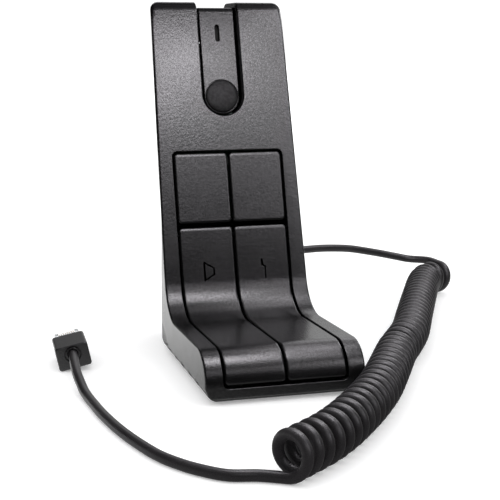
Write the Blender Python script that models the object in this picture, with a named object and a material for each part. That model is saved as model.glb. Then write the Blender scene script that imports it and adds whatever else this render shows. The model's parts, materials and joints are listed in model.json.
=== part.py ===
# Desktop two-way-radio microphone: L-shaped housing (low seat in front, leaning
# column behind), two levers, two column buttons, a recessed microphone panel
# and a coiled cord with a modular plug.
#
# Lengths are millimetres in a drawing frame: x = 0 is the symmetry plane, y = 0
# is just in front of the nose, z = 0 is the desk.  put() moves points to the
# part frame: metres, origin on the desk at y = Y_MID, X right, Y to the back,
# +Z up.  A "station" is a distance along the housing's side outline.
import bisect
import math
from collections import namedtuple

import bmesh
import bpy
import numpy as np
from mathutils import Matrix, Vector
from mathutils.geometry import delaunay_2d_cdt

# ------------------------------------------------------- housing dimensions
Y_MID = 65.0            # drawing y of the part frame's origin

W_HALF = 35.0           # half width of the foot
W_DRAFT = 0.0189        # narrowing of the half width per mm of height
W_DRAFT_Z = 38.0        # height where that narrowing starts
RIM_Z = 2.4             # underside rim of the nose skin
NOSE_Y = 0.5            # front of the nose
NOSE_FOOT_R = 1.2
NOSE_R = 14.5
SEAT_POINT = (15.38, 21.695)       # (y, z) of a point on the seat
SEAT_FALL = math.radians(1.5)      # towards the back
FOOT_R = 21.0           # concave fillet between seat and column
LEAN = math.radians(16.0)
COL_Y, COL_Z = 80.0, 33.0          # a point on the column's front plane
TOP_Z = 166.0
TOP_FRONT_R = 5.5
TOP_BACK_R = 6.0
BACK_TOP_Y, BACK_BOTTOM_Y = 146.6, 130.0
HEEL_R = 4.0
BELLY_R, BELLY_Z = 5.4, 7.3        # rounding of the long lower edges, its centre height
EDGE_R = 1.0            # rounding of the side edges at the seat and column front
TOP_CORNER_R = 4.5
REAR_EDGE_R = 9.0
HEEL_EDGE_R = 3.6
REAR_TAPER = math.tan(math.radians(12.0))
TAPER_Y = 89.0          # the sides taper behind this y, and behind
TAPER_DEPTH = 2.5       # this distance in y from the column's front
WALL = 2.5

PAN_Z0, PAN_Z1 = 5.1, 5.6          # seam between the base pan and the housings above it
PAN_Y = 3.2             # the nose skin covers the pan in front of this
PAN_GAP = 0.3
SPLIT = 8.6             # seam's distance behind the column's front
SEAM = 0.3

OPEN_HALF = 27.3        # keypad opening, half width
OPEN_BOTTOM_Z, OPEN_TOP_Z = 6.8, 95.6
OPEN_CORNER_R = 2.6
CH_HALF = 10.1          # microphone channel, half width
CH_Z = 121.8            # height of the centre of its round end
CH_BACK_RUN = 14.0      # length of the channel down the back
CH_CORNER_R = 2.0
CUT_DEPTH = 4.2         # depth that the opening and the channel are cut to
CORD_EXIT_Z = 37.0
CORD_TUNNEL_Y, CORD_TUNNEL_LEN = 120.0, 30.0
BUSH_HOLE_R = 4.6

PIN_R, PIN_BORE = 1.5, 1.8
PIN_Z_ON_FACE = 57.0    # height on the column's front where the pin's depth starts
PIN_DEPTH = 6.2

OUTSIDE_X, OUTSIDE_Y, OUTSIDE_Z = 60.0, 200.0, -10.0   # beyond the housing, for tools

UP = (0, 0, 1)
BACKWARD = (0, 1, 0)
INWARD = (0, math.cos(LEAN), -math.sin(LEAN))   # square into the column's front

# ----------------------------------------------------------------- materials
MATERIALS = {
    "housing_black": dict(colour=(0.022, 0.022, 0.024), roughness=0.48),
    "base_black": dict(colour=(0.022, 0.022, 0.024), roughness=0.48),
    "key_black": dict(colour=(0.018, 0.018, 0.020), roughness=0.50),
    "panel_black": dict(colour=(0.020, 0.020, 0.022), roughness=0.42),
    "badge_black": dict(colour=(0.030, 0.030, 0.032), roughness=0.45),
    "rubber_black": dict(colour=(0.020, 0.020, 0.021), roughness=0.70),
    "cord_black": dict(colour=(0.019, 0.019, 0.021), roughness=0.42),
    "switch_black": dict(colour=(0.05, 0.05, 0.05), roughness=0.45),
    "screen_felt": dict(colour=(0.03, 0.03, 0.03), roughness=0.95),
    "board_green": dict(colour=(0.03, 0.22, 0.10), roughness=0.45),
    "connector_white": dict(colour=(0.80, 0.79, 0.74), roughness=0.5),
    "clear_plastic": dict(colour=(0.86, 0.88, 0.90), roughness=0.08, alpha=0.35),
    "contact_gold": dict(colour=(0.85, 0.62, 0.25), roughness=0.25, metallic=1.0),
    "steel_bright": dict(colour=(0.62, 0.62, 0.63), roughness=0.30, metallic=1.0),
    "capsule_silver": dict(colour=(0.70, 0.70, 0.71), roughness=0.35, metallic=1.0),
}


def make_material(name, colour, roughness, metallic=0.0, alpha=1.0):
    mat = bpy.data.materials.new(name)
    mat.use_nodes = True
    inputs = mat.node_tree.nodes["Principled BSDF"].inputs
    inputs["Base Color"].default_value = (*colour, 1.0)
    inputs["Roughness"].default_value = roughness
    inputs["Metallic"].default_value = metallic
    inputs["Alpha"].default_value = alpha
    mat.diffuse_color = (*colour, alpha)
    return mat


def material(name):
    """The named material, made on first use."""
    return bpy.data.materials.get(name) or make_material(name, **MATERIALS[name])


# ------------------------------------------------------------- object helpers
def put(x, y, z):
    return Vector((x * 0.001, (y - Y_MID) * 0.001, z * 0.001))


def clear_scene():
    for ob in list(bpy.data.objects):
        bpy.data.objects.remove(ob, do_unlink=True)
    for mesh in list(bpy.data.meshes):
        bpy.data.meshes.remove(mesh)


def shade(ob, degrees):
    """Smooth shading, with edges sharper than the angle kept sharp."""
    ob.data.shade_smooth()
    ob.data.set_sharp_from_angle(angle=math.radians(degrees))


def paint(ob, mat):
    """Give the whole object one material, whatever slots the booleans left."""
    ob.data.materials.clear()
    ob.data.materials.append(material(mat))


def new_object(bm, name, mat=None, smooth=30.0):
    bmesh.ops.recalc_face_normals(bm, faces=bm.faces[:])
    if bm.calc_volume(signed=True) < 0:
        bmesh.ops.reverse_faces(bm, faces=bm.faces[:])
    mesh = bpy.data.meshes.new(name)
    bm.to_mesh(mesh)
    bm.free()
    ob = bpy.data.objects.new(name, mesh)
    bpy.context.scene.collection.objects.link(ob)
    if mat:
        mesh.materials.append(material(mat))
    if smooth:
        shade(ob, smooth)
    return ob


def duplicate(ob):
    twin = ob.copy()
    twin.data = ob.data.copy()
    bpy.context.scene.collection.objects.link(twin)
    return twin


def combine(ob, tool, operation):
    """Apply a boolean, use up the tool and weld what the solver leaves."""
    mod = ob.modifiers.new("combine", "BOOLEAN")
    mod.operation = operation
    mod.solver = "EXACT"
    mod.object = tool
    bpy.context.view_layer.update()
    depsgraph = bpy.context.evaluated_depsgraph_get()
    mesh = bpy.data.meshes.new_from_object(ob.evaluated_get(depsgraph))
    ob.modifiers.clear()
    old = ob.data
    ob.data = mesh
    bpy.data.meshes.remove(old)
    bpy.data.objects.remove(tool, do_unlink=True)
    bm = bmesh.new()
    bm.from_mesh(mesh)
    bmesh.ops.remove_doubles(bm, verts=bm.verts[:], dist=2e-6)
    bmesh.ops.dissolve_degenerate(bm, edges=bm.edges[:], dist=1e-6)
    bm.to_mesh(mesh)
    bm.free()


def cut(ob, tool):
    combine(ob, tool, "DIFFERENCE")


def join(ob, tool):
    combine(ob, tool, "UNION")


def keep(ob, tool):
    combine(ob, tool, "INTERSECT")


# -------------------------------------------------------------- basic solids
# A solid that is only a boolean tool keeps the default name and no material.
def skin(bm, rows):
    """Close equally long rows of vertices into a capped tube."""
    count = len(rows[0])
    for row, following in zip(rows[:-1], rows[1:]):
        for i in range(count):
            j = (i + 1) % count
            bm.faces.new((row[i], row[j], following[j], following[i]))
    bm.faces.new(rows[0])
    bm.faces.new(rows[-1][::-1])


def loft(rings, name="tool", mat=None, smooth=30.0):
    """Solid through a list of equally long rings of drawing-frame points."""
    bm = bmesh.new()
    skin(bm, [[bm.verts.new(put(*point)) for point in ring] for ring in rings])
    return new_object(bm, name, mat, smooth)


def circle(centre, first, second, radius, sides):
    """Ring of points that starts on the first unit vector, towards the second."""
    ring = []
    for k in range(sides):
        angle = 2 * math.pi * k / sides
        ring.append(tuple(centre + radius * (math.cos(angle) * first
                                             + math.sin(angle) * second)))
    return ring


def turned(start, axis, profile, sides, name="tool", mat=None):
    """Solid of revolution: profile is a list of (distance along axis, radius)."""
    axis = Vector(axis).normalized()
    reference = Vector(UP) if abs(axis.x) > 0.9 else Vector((1, 0, 0))
    second = axis.cross(reference).normalized()
    first = second.cross(axis).normalized()
    return loft([circle(Vector(start) + axis * distance, first, second, radius, sides)
                 for distance, radius in profile], name, mat)


def rod(start, axis, length, radius, sides=10, name="tool", mat=None):
    return turned(start, axis, [(0, radius), (length, radius)], sides, name, mat)


def block(low, high, name="tool", mat=None, bevel=0.0):
    (x0, y0, z0), (x1, y1, z1) = low, high
    bm = bmesh.new()
    skin(bm, [[bm.verts.new(put(*point)) for point in
               ((x0, y0, z), (x1, y0, z), (x1, y1, z), (x0, y1, z))] for z in (z0, z1)])
    if bevel:
        bmesh.ops.bevel(bm, geom=bm.edges[:], offset=bevel * 0.001, segments=1,
                        profile=0.5, affect="EDGES")
    return new_object(bm, name, mat, smooth=0)


def prism_yz(outline, x0, x1, name="tool", mat=None):
    """Extrude a (y, z) outline along X."""
    return loft([[(x, y, z) for y, z in outline] for x in (x0, x1)], name, mat, smooth=0)


def rounded_outline(x0, x1, y0, y1, radius, steps, round_low=False):
    """Rectangle with rounded corners; round_low makes its x0 end a half circle."""
    low_r, low_steps = ((y1 - y0) / 2, 3 * steps) if round_low else (radius, steps)
    ring = []
    for x, y, corner_r, count, start in (
            (x1 - radius, y1 - radius, radius, steps, 0),
            (x0 + low_r, y1 - low_r, low_r, low_steps, 90),
            (x0 + low_r, y0 + low_r, low_r, low_steps, 180),
            (x1 - radius, y0 + radius, radius, steps, 270)):
        # the two quarters of a half circle share their middle point
        first = 1 if round_low and start == 180 else 0
        for k in range(first, count + 1):
            angle = math.radians(start + 90.0 * k / count)
            ring.append((x + corner_r * math.cos(angle), y + corner_r * math.sin(angle)))
    return ring


def mirrored_span(side, near, far):
    """x range between two distances from the middle; side is -1 left, 1 right."""
    return sorted((side * near, side * far))


# -------------------------------------------------------- side outline (y, z)
# point is where the piece starts, heading its direction there; radius and
# turn are 0 for a line, turn is negative for a convex arc
Piece = namedtuple("Piece", "start end point heading turn radius")


class Path:
    """Closed outline of lines and fillet arcs in the (y, z) plane.  It runs up
    the nose, back over the seat, up the column, over the top and down the
    back."""

    def __init__(self, corners, radii):
        count = len(corners)
        fillets = []
        for i in range(count):
            corner = Vector(corners[i])
            heading = (corner - Vector(corners[i - 1])).normalized()
            leaving = (Vector(corners[(i + 1) % count]) - corner).normalized()
            turn = math.atan2(heading.x * leaving.y - heading.y * leaving.x,
                              heading.dot(leaving))
            trim = radii[i] * abs(math.tan(turn / 2))
            fillets.append((corner - heading * trim, corner + leaving * trim,
                            heading, turn, radii[i]))
        self.pieces = []
        station = 0.0
        for i, (begin, finish, heading, turn, radius) in enumerate(fillets):
            if radius > 1e-6 and abs(turn) > 1e-6:
                end = station + radius * abs(turn)
                self.pieces.append(Piece(station, end, begin, heading, turn, radius))
                station = end
            line = fillets[(i + 1) % count][0] - finish
            if line.length > 1e-6:
                end = station + line.length
                self.pieces.append(Piece(station, end, finish, line.normalized(), 0.0, 0.0))
                station = end
        self.length = station

    def at(self, station):
        """Point and outward normal at a station."""
        station = station % self.length
        for piece in self.pieces:
            if station <= piece.end + 1e-9:
                break
        along = station - piece.start
        normal = Vector((-piece.heading.y, piece.heading.x))
        if not piece.radius:
            return piece.point + piece.heading * along, normal
        sign = 1.0 if piece.turn > 0 else -1.0
        centre = piece.point + normal * sign * piece.radius
        rotation = Matrix.Rotation(sign * along / piece.radius, 2)
        return centre + rotation @ (piece.point - centre), rotation @ normal

    def station_at(self, z, low, high):
        """Station whose height is z, between two stations (z rises with it)."""
        for _ in range(60):
            middle = 0.5 * (low + high)
            if self.at(middle)[0].y < z:
                low = middle
            else:
                high = middle
        return 0.5 * (low + high)

    def stations(self, arc_deg, line_step):
        """Stations that cut arcs by angle and lines by length."""
        out = []
        for piece in self.pieces:
            length = piece.end - piece.start
            if piece.radius:
                count = max(1, round(math.degrees(abs(piece.turn)) / arc_deg))
            else:
                count = max(1, math.ceil(length / line_step))
            out += [piece.start + length * k / count for k in range(count)]
        return out


def crossing(p, d, q, e):
    """Where the line through p along d meets the line through q along e."""
    det = d[0] * (-e[1]) + e[0] * d[1]
    t = ((q[0] - p[0]) * (-e[1]) + e[0] * (q[1] - p[1])) / det
    return (p[0] + d[0] * t, p[1] + d[1] * t)


LEVEL = (1.0, 0.0)
BACK_DIR = (BACK_BOTTOM_Y - BACK_TOP_Y, RIM_Z - TOP_Z)


def side_corners(inset=0.0, floor=RIM_Z):
    """Corners of the side outline, moved inwards by inset."""
    seat_dir = (math.cos(SEAT_FALL), -math.sin(SEAT_FALL))
    seat = (SEAT_POINT[0] - inset * math.sin(SEAT_FALL),
            SEAT_POINT[1] - inset * math.cos(SEAT_FALL))
    column_dir = (math.sin(LEAN), math.cos(LEAN))
    column = (COL_Y + inset * math.cos(LEAN), COL_Z - inset * math.sin(LEAN))
    top = (0.0, TOP_Z - inset)
    back_len = math.hypot(*BACK_DIR)
    back = (BACK_TOP_Y + inset * BACK_DIR[1] / back_len,
            TOP_Z - inset * BACK_DIR[0] / back_len)
    nose_y = NOSE_Y + inset
    return [(nose_y, floor),
            crossing((nose_y, 0.0), (0.0, 1.0), seat, seat_dir),
            crossing(seat, seat_dir, column, column_dir),
            crossing(column, column_dir, top, LEVEL),
            crossing(back, BACK_DIR, top, LEVEL),
            crossing(back, BACK_DIR, (0.0, floor), LEVEL)]


OUTER = Path(side_corners(), [NOSE_FOOT_R, NOSE_R, FOOT_R, TOP_FRONT_R, TOP_BACK_R, HEEL_R])
NOSE_FOOT, NOSE, FOOT, TOP_FRONT, TOP_BACK, HEEL = [p for p in OUTER.pieces if p.radius]
NOSE_SEARCH = 20.0      # length of outline up the nose that is searched for a height

# (station, rounding radius of the side edges), straight between the entries
EDGE_ROUNDING = [
    (TOP_FRONT.start - 6, EDGE_R), (TOP_FRONT.start + 10, TOP_CORNER_R),
    (TOP_BACK.start, TOP_CORNER_R), (TOP_BACK.end, TOP_CORNER_R + 1),
    (TOP_BACK.end + 25, REAR_EDGE_R), (HEEL.start - 20, REAR_EDGE_R),
    (HEEL.start, HEEL_EDGE_R), (HEEL.end, EDGE_R)]


def edge_radius(station):
    return float(np.interp(station, *zip(*EDGE_ROUNDING)))


def column_station(z):
    return OUTER.station_at(z, FOOT.end, TOP_FRONT.start)


def nose_station(z):
    return OUTER.station_at(z, NOSE_FOOT.end, NOSE_FOOT.end + NOSE_SEARCH)


CH_START = column_station(CH_Z) - CH_HALF
CH_END = TOP_BACK.end + CH_BACK_RUN


def column_front(z):
    """y of the column's front plane."""
    return COL_Y + math.tan(LEAN) * (z - COL_Z)


def column_point(z, depth):
    """(y, z) behind the column's front plane: height on the face, depth inwards."""
    return column_front(z) + depth * math.cos(LEAN), z - depth * math.sin(LEAN)


def column_block(x_range, z_range, depth_range, name="tool", mat=None):
    """Box that leans with the column."""
    (z0, z1), (d0, d1) = z_range, depth_range
    outline = [column_point(z0, d0), column_point(z1, d0),
               column_point(z1, d1), column_point(z0, d1)]
    return prism_yz(outline, *x_range, name, mat)


def on_pin(offsets):
    """(y, z) outline from (height on the face from the pin's, depth) pairs."""
    return [column_point(PIN_Z_ON_FACE + rise, depth) for rise, depth in offsets]


PIN_YZ = column_point(PIN_Z_ON_FACE, PIN_DEPTH)


def patch(station0, station1, x0, x1, layers, corner_r, round_end=False, name="tool"):
    """A slab laid on the outline.  layers lists (depth, side and lower end
    inset, upper end inset) from the outside in.  The flat slab is cut into
    strips and bent round the outline."""
    arc_deg, line_step, end_margin = 12.0, 60.0, 0.05
    bm = bmesh.new()
    rows = []
    for depth, inset, top_inset in layers:
        flat = rounded_outline(station0 + inset, station1 - top_inset, x0 + inset, x1 - inset,
                               max(corner_r - inset, 0.08), 3, round_end)
        rows.append([bm.verts.new((station, x, depth)) for station, x in flat])
    skin(bm, rows)
    for station in OUTER.stations(arc_deg, line_step):
        if station0 + end_margin < station < station1 - end_margin:
            bmesh.ops.bisect_plane(bm, geom=bm.verts[:] + bm.edges[:] + bm.faces[:],
                                   plane_co=(station, 0, 0), plane_no=(1, 0, 0), dist=1e-4)
    for vert in bm.verts:
        station, x, depth = vert.co
        point, normal = OUTER.at(station)
        point = point - normal * depth
        vert.co = put(x, point.x, point.y)
    return new_object(bm, name)


# ----------------------------------------------------------- housing envelope
def body_half_width(y, z):
    """Half width of the housing before edge rounding."""
    width = W_HALF - W_DRAFT * max(0.0, z - W_DRAFT_Z)
    width -= REAR_TAPER * max(0.0, y - max(TAPER_Y, column_front(z) + TAPER_DEPTH))
    if z < BELLY_Z:
        width -= BELLY_R - math.sqrt(max(0.0, BELLY_R ** 2 - (BELLY_Z - z) ** 2))
    return width


def two_sided(points, rails, loop, half_width, name):
    """Closed solid of two mirrored side surfaces, triangulated over the side
    points inside the loop, joined by a band along their borders."""
    verts, _, faces, *_ = delaunay_2d_cdt([Vector(p) for p in points], rails, [loop], 1, 1e-5)
    bm = bmesh.new()
    sides = []
    for side in (-1, 1):
        row = [bm.verts.new(put(side * half_width(v.x, v.y), v.x, v.y)) for v in verts]
        sides.append(row)
        for face in faces:
            bm.faces.new([row[i] for i in face])
    edge_use = {}
    for face in faces:
        for a, b in zip(face, list(face[1:]) + [face[0]]):
            edge = (min(a, b), max(a, b))
            edge_use[edge] = edge_use.get(edge, 0) + 1
    for (a, b), uses in edge_use.items():
        if uses == 1:
            bm.faces.new((sides[0][a], sides[0][b], sides[1][b], sides[1][a]))
    return new_object(bm, name)


def point_inside(polygon, y, z):
    inside = False
    for i, (y0, z0) in enumerate(polygon):
        y1, z1 = polygon[(i + 1) % len(polygon)]
        if (z0 > z) != (z1 > z) and y < (y1 - y0) * (z - z0) / (z1 - z0) + y0:
            inside = not inside
    return inside


def bend_points():
    """Extra (y, z) points in rows where the sides bend."""
    belly = [(6.0 + 14.0 * k, z) for z in (3.2, 4.2, 5.4, 7.3) for k in range(9)]
    taper = [(TAPER_Y, 16.0 + 12.0 * k) for k in range(6)]
    column = [(column_front(z) + 5.2, z) for z in (84.0 + 11.5 * k for k in range(7))]
    return belly + taper + column


def outer_body():
    """Closed envelope of the housing with rounded side edges."""
    stations = OUTER.stations(15.0, 22.0)
    fine = OUTER.stations(2.0, 0.8)
    outline = np.array([tuple(OUTER.at(s)[0]) for s in fine])
    radii = np.array([edge_radius(s) for s in fine])
    spans = np.roll(outline, -1, axis=0) - outline
    next_radii = np.roll(radii, -1)

    def half_width(y, z):
        offset = np.array((y, z)) - outline
        t = np.clip((offset * spans).sum(1) / (spans * spans).sum(1), 0, 1)
        distances = np.linalg.norm(offset - spans * t[:, None], axis=1)
        i = int(distances.argmin())
        radius = float(radii[i] + (next_radii[i] - radii[i]) * t[i])
        distance = float(distances[i])
        inset = 0.0
        if distance < radius:
            inset = radius - math.sqrt(max(0.0, radius ** 2 - (radius - distance) ** 2))
        return body_half_width(y, z) - inset

    # the outline itself, then rails round the edge rounding
    points, rails = [], []
    count = len(stations)
    for angle in (0.0, 30.0, 60.0, 90.0):
        first = len(points)
        if first:
            rails += [(first + i, first + (i + 1) % count) for i in range(count)]
        for station in stations:
            point, normal = OUTER.at(station)
            depth = edge_radius(station) * (1 - math.cos(math.radians(angle)))
            points.append(tuple(point - normal * depth))
    for y, z in bend_points():
        gaps = np.linalg.norm(outline - np.array((y, z)), axis=1)
        nearest = int(gaps.argmin())
        if gaps[nearest] > radii[nearest] + 0.4 and point_inside(outline, y, z):
            points.append((y, z))
    return two_sided(points, rails, list(range(count)), half_width, "outer_body")


CORE_FLOOR_Z = -6.0
# (y, z) points that carry the core's side surfaces between its outline
CORE_POINTS = [
    (89.0, 12.0), (89.0, 70.0), (104.0, 100.0), (122.0, 160.0),
    (20.0, 4.0), (55.0, 4.0), (85.0, 4.0), (20.0, 10.0), (55.0, 10.0),
    (124.0, 12.0), (124.0, 70.0), (128.0, 110.0), (139.0, 158.0), (130.0, 130.0)]
CORE_REAR_ROUNDING = 0.8           # share of the rear edge rounding that the core follows
CORE_TOP_Z, CORE_TOP_INSET = 155.0, 1.0   # the core is narrower above this height


def inner_body():
    """Core that hollows the housing out; it runs out through the underside."""
    path = Path(side_corners(WALL, CORE_FLOOR_Z),
                [0.0, NOSE_R - WALL, FOOT_R + WALL, TOP_FRONT_R - WALL,
                 TOP_BACK_R - WALL, 0.0])
    outline = [tuple(path.at(s)[0]) for s in path.stations(15.0, 40.0)]

    def half_width(y, z):
        width = body_half_width(y, max(z, RIM_Z)) - WALL
        distance = crossing((0.0, z), LEVEL, (BACK_TOP_Y, TOP_Z), BACK_DIR)[0] - y
        if distance < REAR_EDGE_R:
            width -= CORE_REAR_ROUNDING * (REAR_EDGE_R - math.sqrt(
                max(0.0, REAR_EDGE_R ** 2 - (REAR_EDGE_R - distance) ** 2)))
        if z > CORE_TOP_Z:
            width -= CORE_TOP_INSET
        return width

    return two_sided(outline + CORE_POINTS, [], list(range(len(outline))),
                     half_width, "inner_body")


# ------------------------------------------------------- front, rear housings
# (depth, side and lower end inset, upper end inset); flared at the surface
OPENING_LAYERS = [(-0.6, -0.5, -0.5), (0.0, -0.4, -0.4), (0.4, 0.0, 0.0),
                  (CUT_DEPTH, 0.0, 0.0)]
CHANNEL_LAYERS = [(-0.9, -0.9, -0.9), (0.0, -0.75, -0.75), (0.35, -0.3, -0.3),
                  (1.0, 0.0, 0.0), (CUT_DEPTH, 0.0, 0.0)]

SCREW_FRONT_X, SCREW_FRONT_Y = 20, 8.6
SCREW_REAR_X, SCREW_REAR_Y = 16, 121.6
BASE_SCREWS = [(-SCREW_FRONT_X, SCREW_FRONT_Y), (SCREW_FRONT_X, SCREW_FRONT_Y),
               (-SCREW_REAR_X, SCREW_REAR_Y), (SCREW_REAR_X, SCREW_REAR_Y)]
SCREW_HOLE_R = 1.8
BOSS_R, BOSS_Z, BOSS_LEN = 3.4, 3.0, 8.9
BOSS_HOLE_LEN = 11.0    # measured from the desk
RIB_HALF = 1.0

CHEEK_X = (27.9, 29.9)
CHEEK_OFFSETS = [(-4.0, 1.6), (4.0, 1.6), (3.2, 9.6), (-3.2, 9.6)]  # see on_pin()


def cut_openings(shell):
    """Keypad opening, microphone channel over the top, cord hole at the rear."""
    cut(shell, patch(nose_station(OPEN_BOTTOM_Z), column_station(OPEN_TOP_Z),
                     -OPEN_HALF, OPEN_HALF, OPENING_LAYERS, OPEN_CORNER_R))
    cut(shell, patch(CH_START, CH_END, -CH_HALF, CH_HALF, CHANNEL_LAYERS,
                     CH_CORNER_R, round_end=True))
    cut(shell, rod((0, CORD_TUNNEL_Y, CORD_EXIT_Z), BACKWARD, CORD_TUNNEL_LEN,
                   BUSH_HOLE_R, 14))


def seam_side(shift, far_y):
    """Everything on one side of the seam, out to far_y."""
    y0 = TAPER_Y + shift
    corner = column_point(COL_Z + 1.5, SPLIT + shift)
    top = column_point(175.0, SPLIT + shift)
    outline = [(far_y, OUTSIDE_Z), (y0, OUTSIDE_Z), (y0, COL_Z - 2.2), corner, top,
               (far_y, top[1])]
    return prism_yz(outline, -OUTSIDE_X, OUTSIDE_X)


def add_screw_boss(housing, x, y, rib_y, rib_z):
    """Boss for a base screw, with a rib that ties it to the wall."""
    join(housing, rod((x, y, BOSS_Z), UP, BOSS_LEN, BOSS_R))
    join(housing, block((x - RIB_HALF, rib_y[0], rib_z[0]), (x + RIB_HALF, rib_y[1], rib_z[1])))
    cut(housing, rod((x, y, 0.0), UP, BOSS_HOLE_LEN, SCREW_HOLE_R))


def add_pin_cheek(housing, side):
    """Pivot cheek beside a lever, bored for the pin."""
    join(housing, prism_yz(on_pin(CHEEK_OFFSETS), *mirrored_span(side, *CHEEK_X)))
    cut(housing, rod((side * 26.0, *PIN_YZ), (side, 0, 0), 6.0, PIN_BORE))


def build_housings():
    """Front and rear housings; returns the wall of the base pan."""
    front = outer_body()
    cut(front, inner_body())

    # the part below the pan seam becomes the wall of the base pan
    pan = duplicate(front)
    keep(pan, block((-OUTSIDE_X, PAN_Y + PAN_GAP, OUTSIDE_Z), (OUTSIDE_X, OUTSIDE_Y, PAN_Z0)))
    cut(front, block((-OUTSIDE_X, PAN_Y, OUTSIDE_Z), (OUTSIDE_X, OUTSIDE_Y, PAN_Z1)))

    cut_openings(front)
    rear = duplicate(front)
    keep(front, seam_side(-SEAM / 2, -20.0))
    keep(rear, seam_side(SEAM / 2, 190.0))
    for side in (-1, 1):
        add_screw_boss(front, side * SCREW_FRONT_X, SCREW_FRONT_Y,
                       rib_y=(2.0, 6.5), rib_z=(3.0, 6.2))
        add_screw_boss(rear, side * SCREW_REAR_X, SCREW_REAR_Y,
                       rib_y=(123.4, 129.0), rib_z=(6.6, 11.4))
        add_pin_cheek(front, side)
    for ob, name in ((front, "front_housing"), (rear, "rear_housing")):
        ob.name = name
        paint(ob, "housing_black")
        shade(ob, 30)
    return pan


# ---------------------------------------------------------------- base plate
PLATE_TOP_Z = 2.7
PLATE_GAP = 0.3         # inside the housing's half width
# (y, extra inset of the half width) along the plate's sides
PLATE_STATIONS = [(PAN_Y + 0.5, 0.0), (20.0, 0.0), (60.0, 0.0), (89.0, 0.0),
                  (108.0, 0.0), (122.0, 0.0), (128.0, 3.0)]
# (scale of x, scale of y about the part origin, z), from the underside up
PLATE_LAYERS = [(0.91, 0.98, 0.5), (0.96, 0.992, 1.2), (1.0, 1.0, 2.0),
                (1.0, 1.0, PLATE_TOP_Z)]
# (height, radius); a pair 0.0001 apart or less than 0.01 apart is a step
PLATE_SCREW_HOLE = [(0, 3.3), (1.5, 3.3), (1.5001, SCREW_HOLE_R), (4, SCREW_HOLE_R)]
BASE_SCREW_Z = 0.55
BASE_SCREW = [(0, 2.2), (0.15, 2.8), (0.65, 2.8), (0.65001, 1.45), (9.0, 1.45), (10.0, 0.8)]

PAD_HALF_X, PAD_HALF_Y, PAD_CORNER_R = 22.0, 45.0, 4.0
PAD_GAP = 0.4           # between the pad and its pocket

STANDOFF_Y = (23.0, 56.0)          # standoffs that carry the lever board


def pad_slab(grow, layers, name="tool", mat=None):
    """Foot pad's outline grown by grow; layers lists (inset, height)."""
    rings = []
    for inset, z in layers:
        half_x = PAD_HALF_X + grow - inset
        half_y = PAD_HALF_Y + grow - inset
        flat = rounded_outline(-half_x, half_x, -half_y, half_y,
                               PAD_CORNER_R + grow - inset, 4)
        rings.append([(x, Y_MID + y, z) for x, y in flat])
    return loft(rings, name, mat)


def base_plate(pan):
    """Floor and pan wall, with screw holes, a pocket for the pad and standoffs."""
    right = [(body_half_width(y, PLATE_TOP_Z) - PLATE_GAP - inset, y)
             for y, inset in PLATE_STATIONS]
    outline = right + [(-x, y) for x, y in right[::-1]]
    base = loft([[(x * scale_x, Y_MID + (y - Y_MID) * scale_y, z) for x, y in outline]
                 for scale_x, scale_y, z in PLATE_LAYERS], "base_plate", smooth=0)
    join(base, pan)
    for x, y in BASE_SCREWS:
        cut(base, turned((x, y, 0.0), UP, PLATE_SCREW_HOLE, 12))
    cut(base, pad_slab(PAD_GAP, [(0.0, -0.5), (0.0, 1.3)]))
    for y in STANDOFF_Y:
        join(base, rod((0, y, 1.9), UP, 6.2, radius=3.2))
        cut(base, rod((0, y, 2.6), UP, 6.0, radius=1.3, sides=8))
    paint(base, "base_black")


def base_screws():
    for k, (x, y) in enumerate(BASE_SCREWS, start=1):
        turned((x, y, BASE_SCREW_Z), UP, BASE_SCREW, 10, f"base_screw_{k}", "steel_bright")


def foot_pad():
    pad_slab(0.0, [(0.25, 0.0), (0.0, 0.25), (0.0, 1.0)], "foot_pad", "rubber_black")


def ballast_weight():
    block((-24, 66.0, 3.0), (24, 104.0, 12.0), "ballast_weight", "steel_bright", bevel=0.8)


# ---------------------------------------------------------------------- keys
KEY_IN, KEY_OUT = 0.45, 26.4       # distances of a key's edges from the middle
KEY_T = 2.4
KEY_LAYERS = [(0.0, 0.75, 1.5), (0.2, 0.3, 0.6), (0.75, 0.0, 0.0), (KEY_T, 0.0, 0.0)]

UPPER_Z0, UPPER_Z1 = 62.3, 94.6
UPPER_CORNER_R = 1.9
UPPER_BOSS_Z = 78.5     # height on the face of the boss and its switch
UPPER_BOSS_DEPTH = KEY_T - 0.4
UPPER_BOSS_LEN = 4.2
UPPER_BOSS = [(0, 3.2), (3.0, 3.2), (3.01, 2.2), (UPPER_BOSS_LEN, 2.2)]

LEVER_Z0, LEVER_Z1 = 8.3, 60.2
LEVER_CORNER_R = 1.6
LUG_X, LUG_T = (6.0, 20.5), 3.0
LUG_OFFSETS = [(-3.4, KEY_T - 0.5), (1.8, KEY_T - 0.5), (2.4, PIN_DEPTH + 1.0),
               (1.2, PIN_DEPTH + 3.2), (-1.6, PIN_DEPTH + 3.2), (-3.0, PIN_DEPTH + 0.6)]
LEVER_PARTS_X = 13.4    # of the switches, springs and the stubs above them
LEVER_SWITCH_Y, SPRING_Y = 44.0, 28.0

PIN_HALF, PIN_CHAMFER = 30.6, 0.4
PIN_END_R = 1.1


def upper_button(side, name):
    """Slab on the column with a rear boss that meets its switch."""
    key = patch(column_station(UPPER_Z0), column_station(UPPER_Z1),
                *mirrored_span(side, KEY_IN, KEY_OUT), KEY_LAYERS, UPPER_CORNER_R, name=name)
    x = side * (KEY_IN + KEY_OUT) / 2
    join(key, turned((x, *column_point(UPPER_BOSS_Z, UPPER_BOSS_DEPTH)), INWARD, UPPER_BOSS, 10))
    paint(key, "key_black")


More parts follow.
